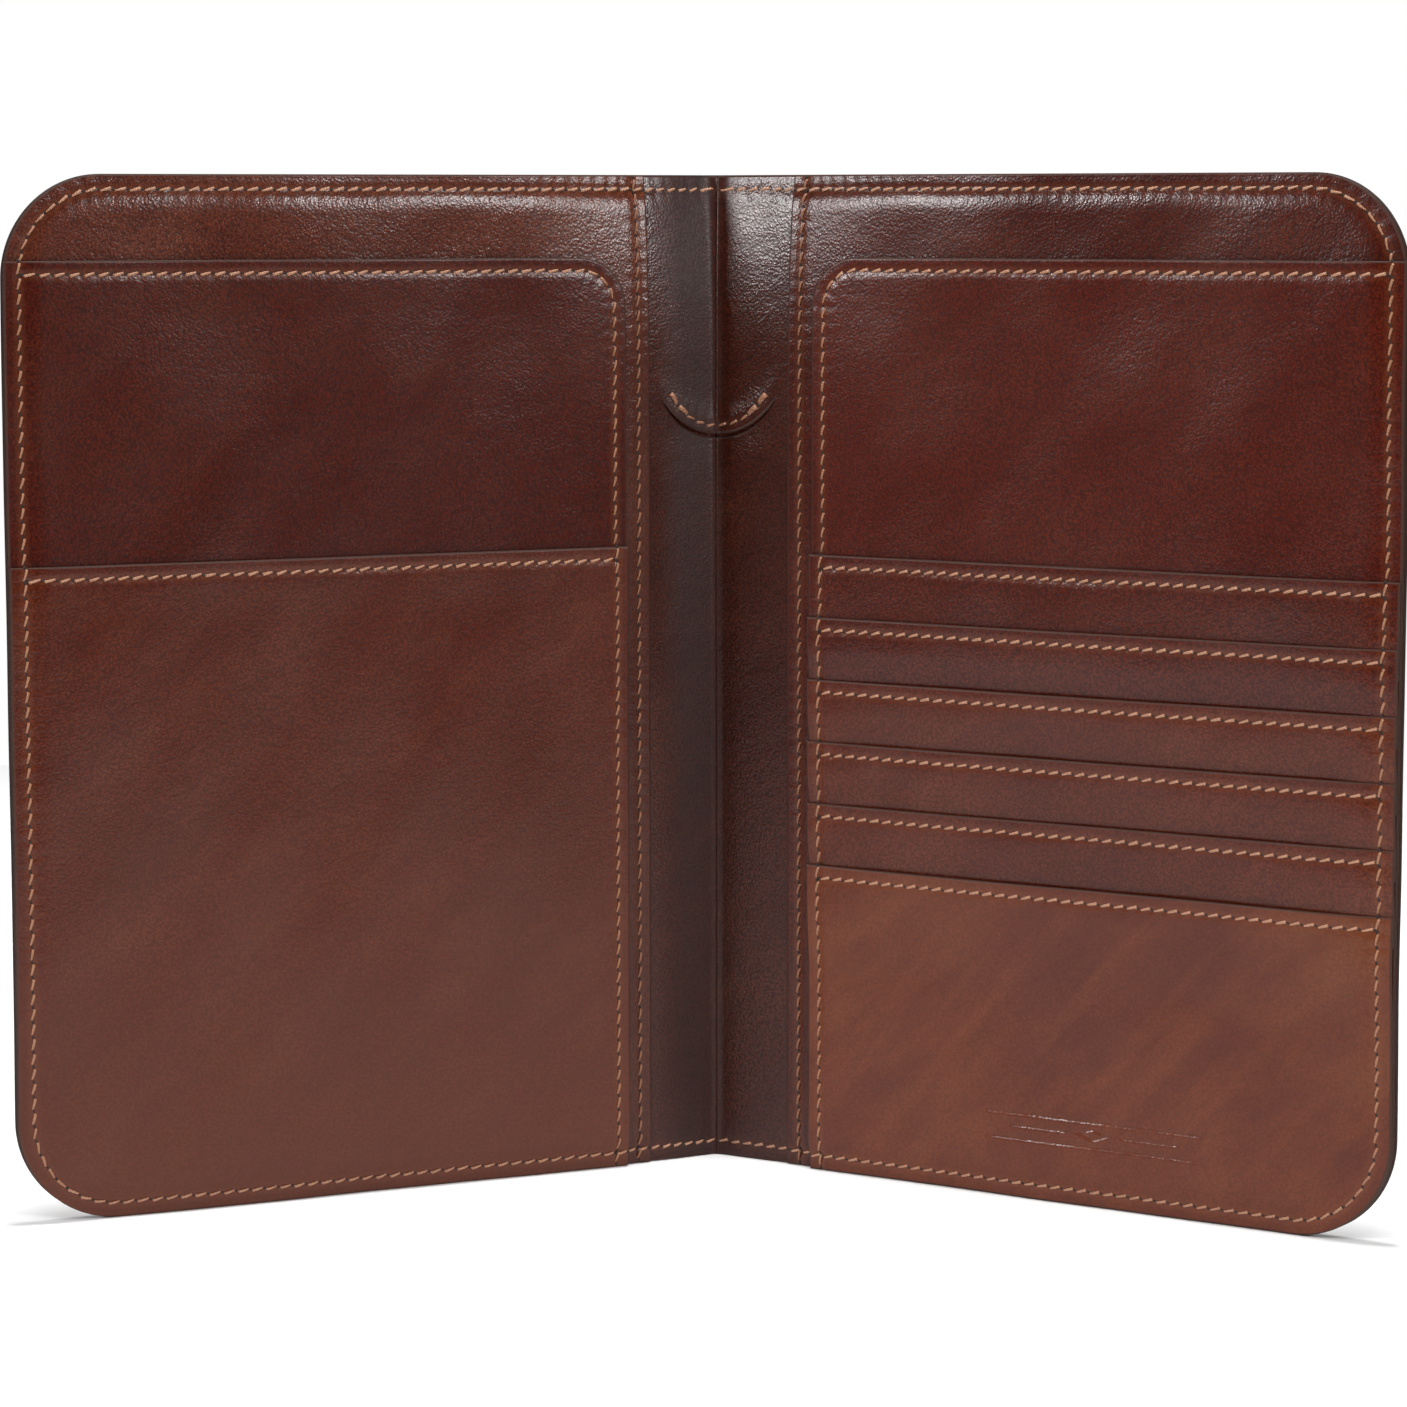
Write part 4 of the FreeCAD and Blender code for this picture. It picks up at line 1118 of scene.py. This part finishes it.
def build_front_panel():
    """The foremost card pocket, with its ornament and the stitching on it."""
    side = "right"
    rows = front_rows(FRONT_TOP)
    row, side_row, foot_row = rows
    us = ticks(POCKET_START, REACH, 0.5, [(POCKET_START, 21.0, 0.34), (46.0, 87.0, 0.3)])
    zs = ticks(0.0, FRONT_TOP, 0.5, [(0.0, 4.5, 0.34), (7.5, 14.5, 0.14), (41.0, FRONT_TOP, 0.34)])

    sewn = raised(front_back, FRONT_THICK - SUNK)
    front = bedded(raised(front_back, FRONT_THICK), rows)
    obj = sheet("card_front_skin", side, us, zs, (POCKET_START, REACH, 0.0, FRONT_TOP, (0, CORNER, 0, 0)),
                lambda u, z: front(u, z) + ornament(u, z), front_back, FRONT, rows=rows, skin=140.0)
    on_leaf(obj, side, "pocket_leather", "card_front_panel")
    sew_leaf("card_stitches_6", side, [row], sewn, "card_thread_6")
    sew_leaf("tall_pocket_stitches_right_foot", side, [side_row], sewn)
    sew_leaf("edge_stitches_right_foot", side, [foot_row], sewn)


def build_right_leaf():
    """The right lining, its tall pocket and the card pockets."""
    side = "right"
    lining_rows, lining_level = build_lining(side)
    bend, outer, tall_level = build_tall_pocket(side)
    for number in range(1, CARD_FACINGS + 1):
        build_card_facing(number)
    build_front_panel()
    sew_leaf("tall_pocket_stitches_right", side, [bend], tall_level, "tall_pocket_thread_right")
    sew_leaf("edge_stitches_right_top", side, lining_rows, lining_level, "edge_thread_right")
    sew_leaf("edge_stitches_right_side", side, [outer], tall_level)


# ---- what is hidden inside


def build_board(side):
    inset = 0.35
    radius = CORNER - inset
    box = (STRIP_END + 0.3, REACH - inset, inset, HEIGHT - inset)
    us, zs = (ticks(*ends, 2.5, rim=0.4) for ends in (box[:2], box[2:]))
    obj = sheet("board_" + side, side, us, zs, (*box, (0, radius, radius, 0)), at_level(side, BOARD_FACE),
                at_level(side, BOARD_BACK), BOARD)
    on_leaf(obj, side, "board", "stiffener_board_" + side)


def build_tongue(number):
    """The cloth that hangs behind a card facing and makes its pocket's back."""
    side = "right"
    inset = 4.0
    start, end = POCKET_START + inset, REACH - inset
    low, high = facing_foot(number) - 28.0, facing_foot(number) + 1.6
    level = 1.345 + 0.028 * (number - 1)
    us, zs = ticks(start, end, 3.0, rims=""), ticks(low, high, 1.5, rims="")
    obj = sheet(f"card_tongue_cloth_{number}", side, us, zs, (start, end, low, high, (0, 0, 0, 0)),
                at_level(side, level + 0.02), at_level(side, level), CLOTH)
    on_leaf(obj, side, "pocket_cloth", f"card_tongue_{number}")


def glue_line(name, side, low, high, top, node_name):
    """The glued margin round a pocket's three closed sides, kept just inside the cut edges."""
    inset, wide, step = 0.5, 3.0, 3.0
    boxes = [
        (POCKET_START + inset, POCKET_START + wide, inset, top - 1.0),
        (REACH - wide, REACH - inset, CORNER, top - 1.0),
        (POCKET_START + wide, REACH - CORNER, inset, wide),
    ]
    for i, box in enumerate(boxes):
        us, zs = (np.linspace(a, b, max(3, int((b - a) / step))) for a, b in (box[:2], box[2:]))
        part = sheet(f"{name}_{i}", side, us, zs, (*box, (0, 0, 0, 0)), at_level(side, high),
                     at_level(side, low), GLUE)
        on_leaf(part, side, "glue", *([] if i else [node_name]))


for leaf_side in SIDES:
    build_cover(leaf_side)
    build_strip(leaf_side)
build_left_leaf()
build_right_leaf()
for leaf_side in SIDES:
    build_board(leaf_side)
for card in range(1, CARD_FACINGS + 1):
    build_tongue(card)
for leaf_side in SIDES:
    glue_line("tall_glue_" + leaf_side, leaf_side, 0.61, 0.69, TALL_TOP - TALL_CORNER,
              "glue_line_tall_pocket_" + leaf_side)
glue_line("short_glue", "left", 1.31, 1.39, SHORT_TOP, "glue_line_short_pocket")
glue_line("card_glue", "right", 1.31, 1.34, FRONT_TOP - 12.0, "glue_line_card_pockets")


# ---- stage, light and camera


def build_stage():
    bpy.ops.mesh.primitive_plane_add(size=1.0, location=(0.0, 0.0, -0.0001))
    floor = bpy.context.object
    floor.name = "floor"
    material, tree, shader = new_material("floor")
    speck = noise(tree, node(tree, "ShaderNodeTexCoord").outputs["Object"], 3.0, 2.0, 0.5)
    tree.links.new(mix(tree, speck, (0.86, 0.86, 0.86), (0.88, 0.88, 0.88)), shader.inputs["Base Color"])
    shader.inputs["Roughness"].default_value = 0.8
    floor.data.materials.append(material)


def add_light(name, kind, at, aim, power):
    """A light that looks from one point towards another."""
    light = bpy.data.lights.new(name, kind)
    light.energy = power
    obj = bpy.data.objects.new(name, light)
    obj.location = at
    obj.rotation_euler = (Vector(aim) - Vector(at)).to_track_quat("-Z", "Y").to_euler()
    bpy.context.scene.collection.objects.link(obj)
    return light


def area_light(name, at, aim, size, power):
    light = add_light(name, "AREA", at, aim, power)
    light.shape = "RECTANGLE"
    light.size, light.size_y = size


def spot_light(name, at, aim, radius, power):
    """A soft round pool of light on the floor."""
    light = add_light(name, "SPOT", at, aim, power)
    light.shadow_soft_size = 0.12
    light.spot_size = 2.0 * math.atan(radius / at[2])
    light.spot_blend = 0.8


SIDE_LIGHTS = (("left", -64.0, 8.0), ("right", 55.0, 7.0))  # name, azimuth and power
SIDE_LIGHT_FAR, SIDE_LIGHT_HIGH = 1.3, 0.46
BACKDROP = (1.0, 1.0, 1.0)
ROOM_FRONT = (0.035, 0.035, 0.036)
ROOM_BEHIND = (0.35, 0.35, 0.35)


def build_lights():
    """A white backdrop behind a dim room, with a soft light at each side, high enough to clear the leaves."""
    world = bpy.data.worlds.new("world")
    bpy.context.scene.world = world
    world.use_nodes = True
    tree = world.node_tree
    background = tree.nodes["Background"]
    towards = node(tree, "ShaderNodeSeparateXYZ", {0: node(tree, "ShaderNodeTexCoord").outputs["Generated"]})
    room = mix(tree, span(tree, towards.outputs["Y"], -0.1, 0.25), ROOM_FRONT, ROOM_BEHIND)
    seen = node(tree, "ShaderNodeLightPath").outputs["Is Camera Ray"]
    tree.links.new(mix(tree, seen, room, BACKDROP), background.inputs["Color"])
    background.inputs["Strength"].default_value = 1.0
    for name, azimuth, power in SIDE_LIGHTS:
        turn = math.radians(azimuth)
        at = (SIDE_LIGHT_FAR * math.sin(turn), -SIDE_LIGHT_FAR * math.cos(turn), SIDE_LIGHT_HIGH)
        area_light(name, at, (0.0, 0.0, 0.14), (0.13, 0.13), power)
    area_light("overhead", (0.0, -0.85, 1.15), (0.0, 0.0, 0.08), (1.1, 0.6), 10.0)
    spot_light("pool", (0.02, 0.0, 1.3), (0.02, 0.05, 0.0), 0.8, 66.0)


CAMERA_AT = (0.0441, -0.6531, 0.1479)
CAMERA_PAN, CAMERA_TILT, CAMERA_ROLL = -0.0691, 0.1121, -0.0009
CAMERA_LENS = 113.36


def turned(first, second, angle):
    """Two directions at right angles, turned together by an angle."""
    c, s = math.cos(angle), math.sin(angle)
    return first * c + second * s, second * c - first * s


def build_camera():
    data = bpy.data.cameras.new("camera")
    data.lens = CAMERA_LENS
    data.sensor_width = 36.0
    data.clip_start, data.clip_end = 0.01, 20.0
    ahead, right = turned(Vector((0.0, 1.0, 0.0)), Vector((1.0, 0.0, 0.0)), CAMERA_PAN)
    above, look = turned(Vector((0.0, 0.0, 1.0)), ahead, CAMERA_TILT)
    side, over = turned(right, above, CAMERA_ROLL)
    camera = bpy.data.objects.new("camera", data)
    camera.matrix_world = Matrix.Translation(CAMERA_AT) @ Matrix((side, over, -look)).transposed().to_4x4()
    bpy.context.scene.collection.objects.link(camera)
    bpy.context.scene.camera = camera


build_stage()
build_lights()
build_camera()
bpy.context.scene.view_settings.view_transform = "Standard"
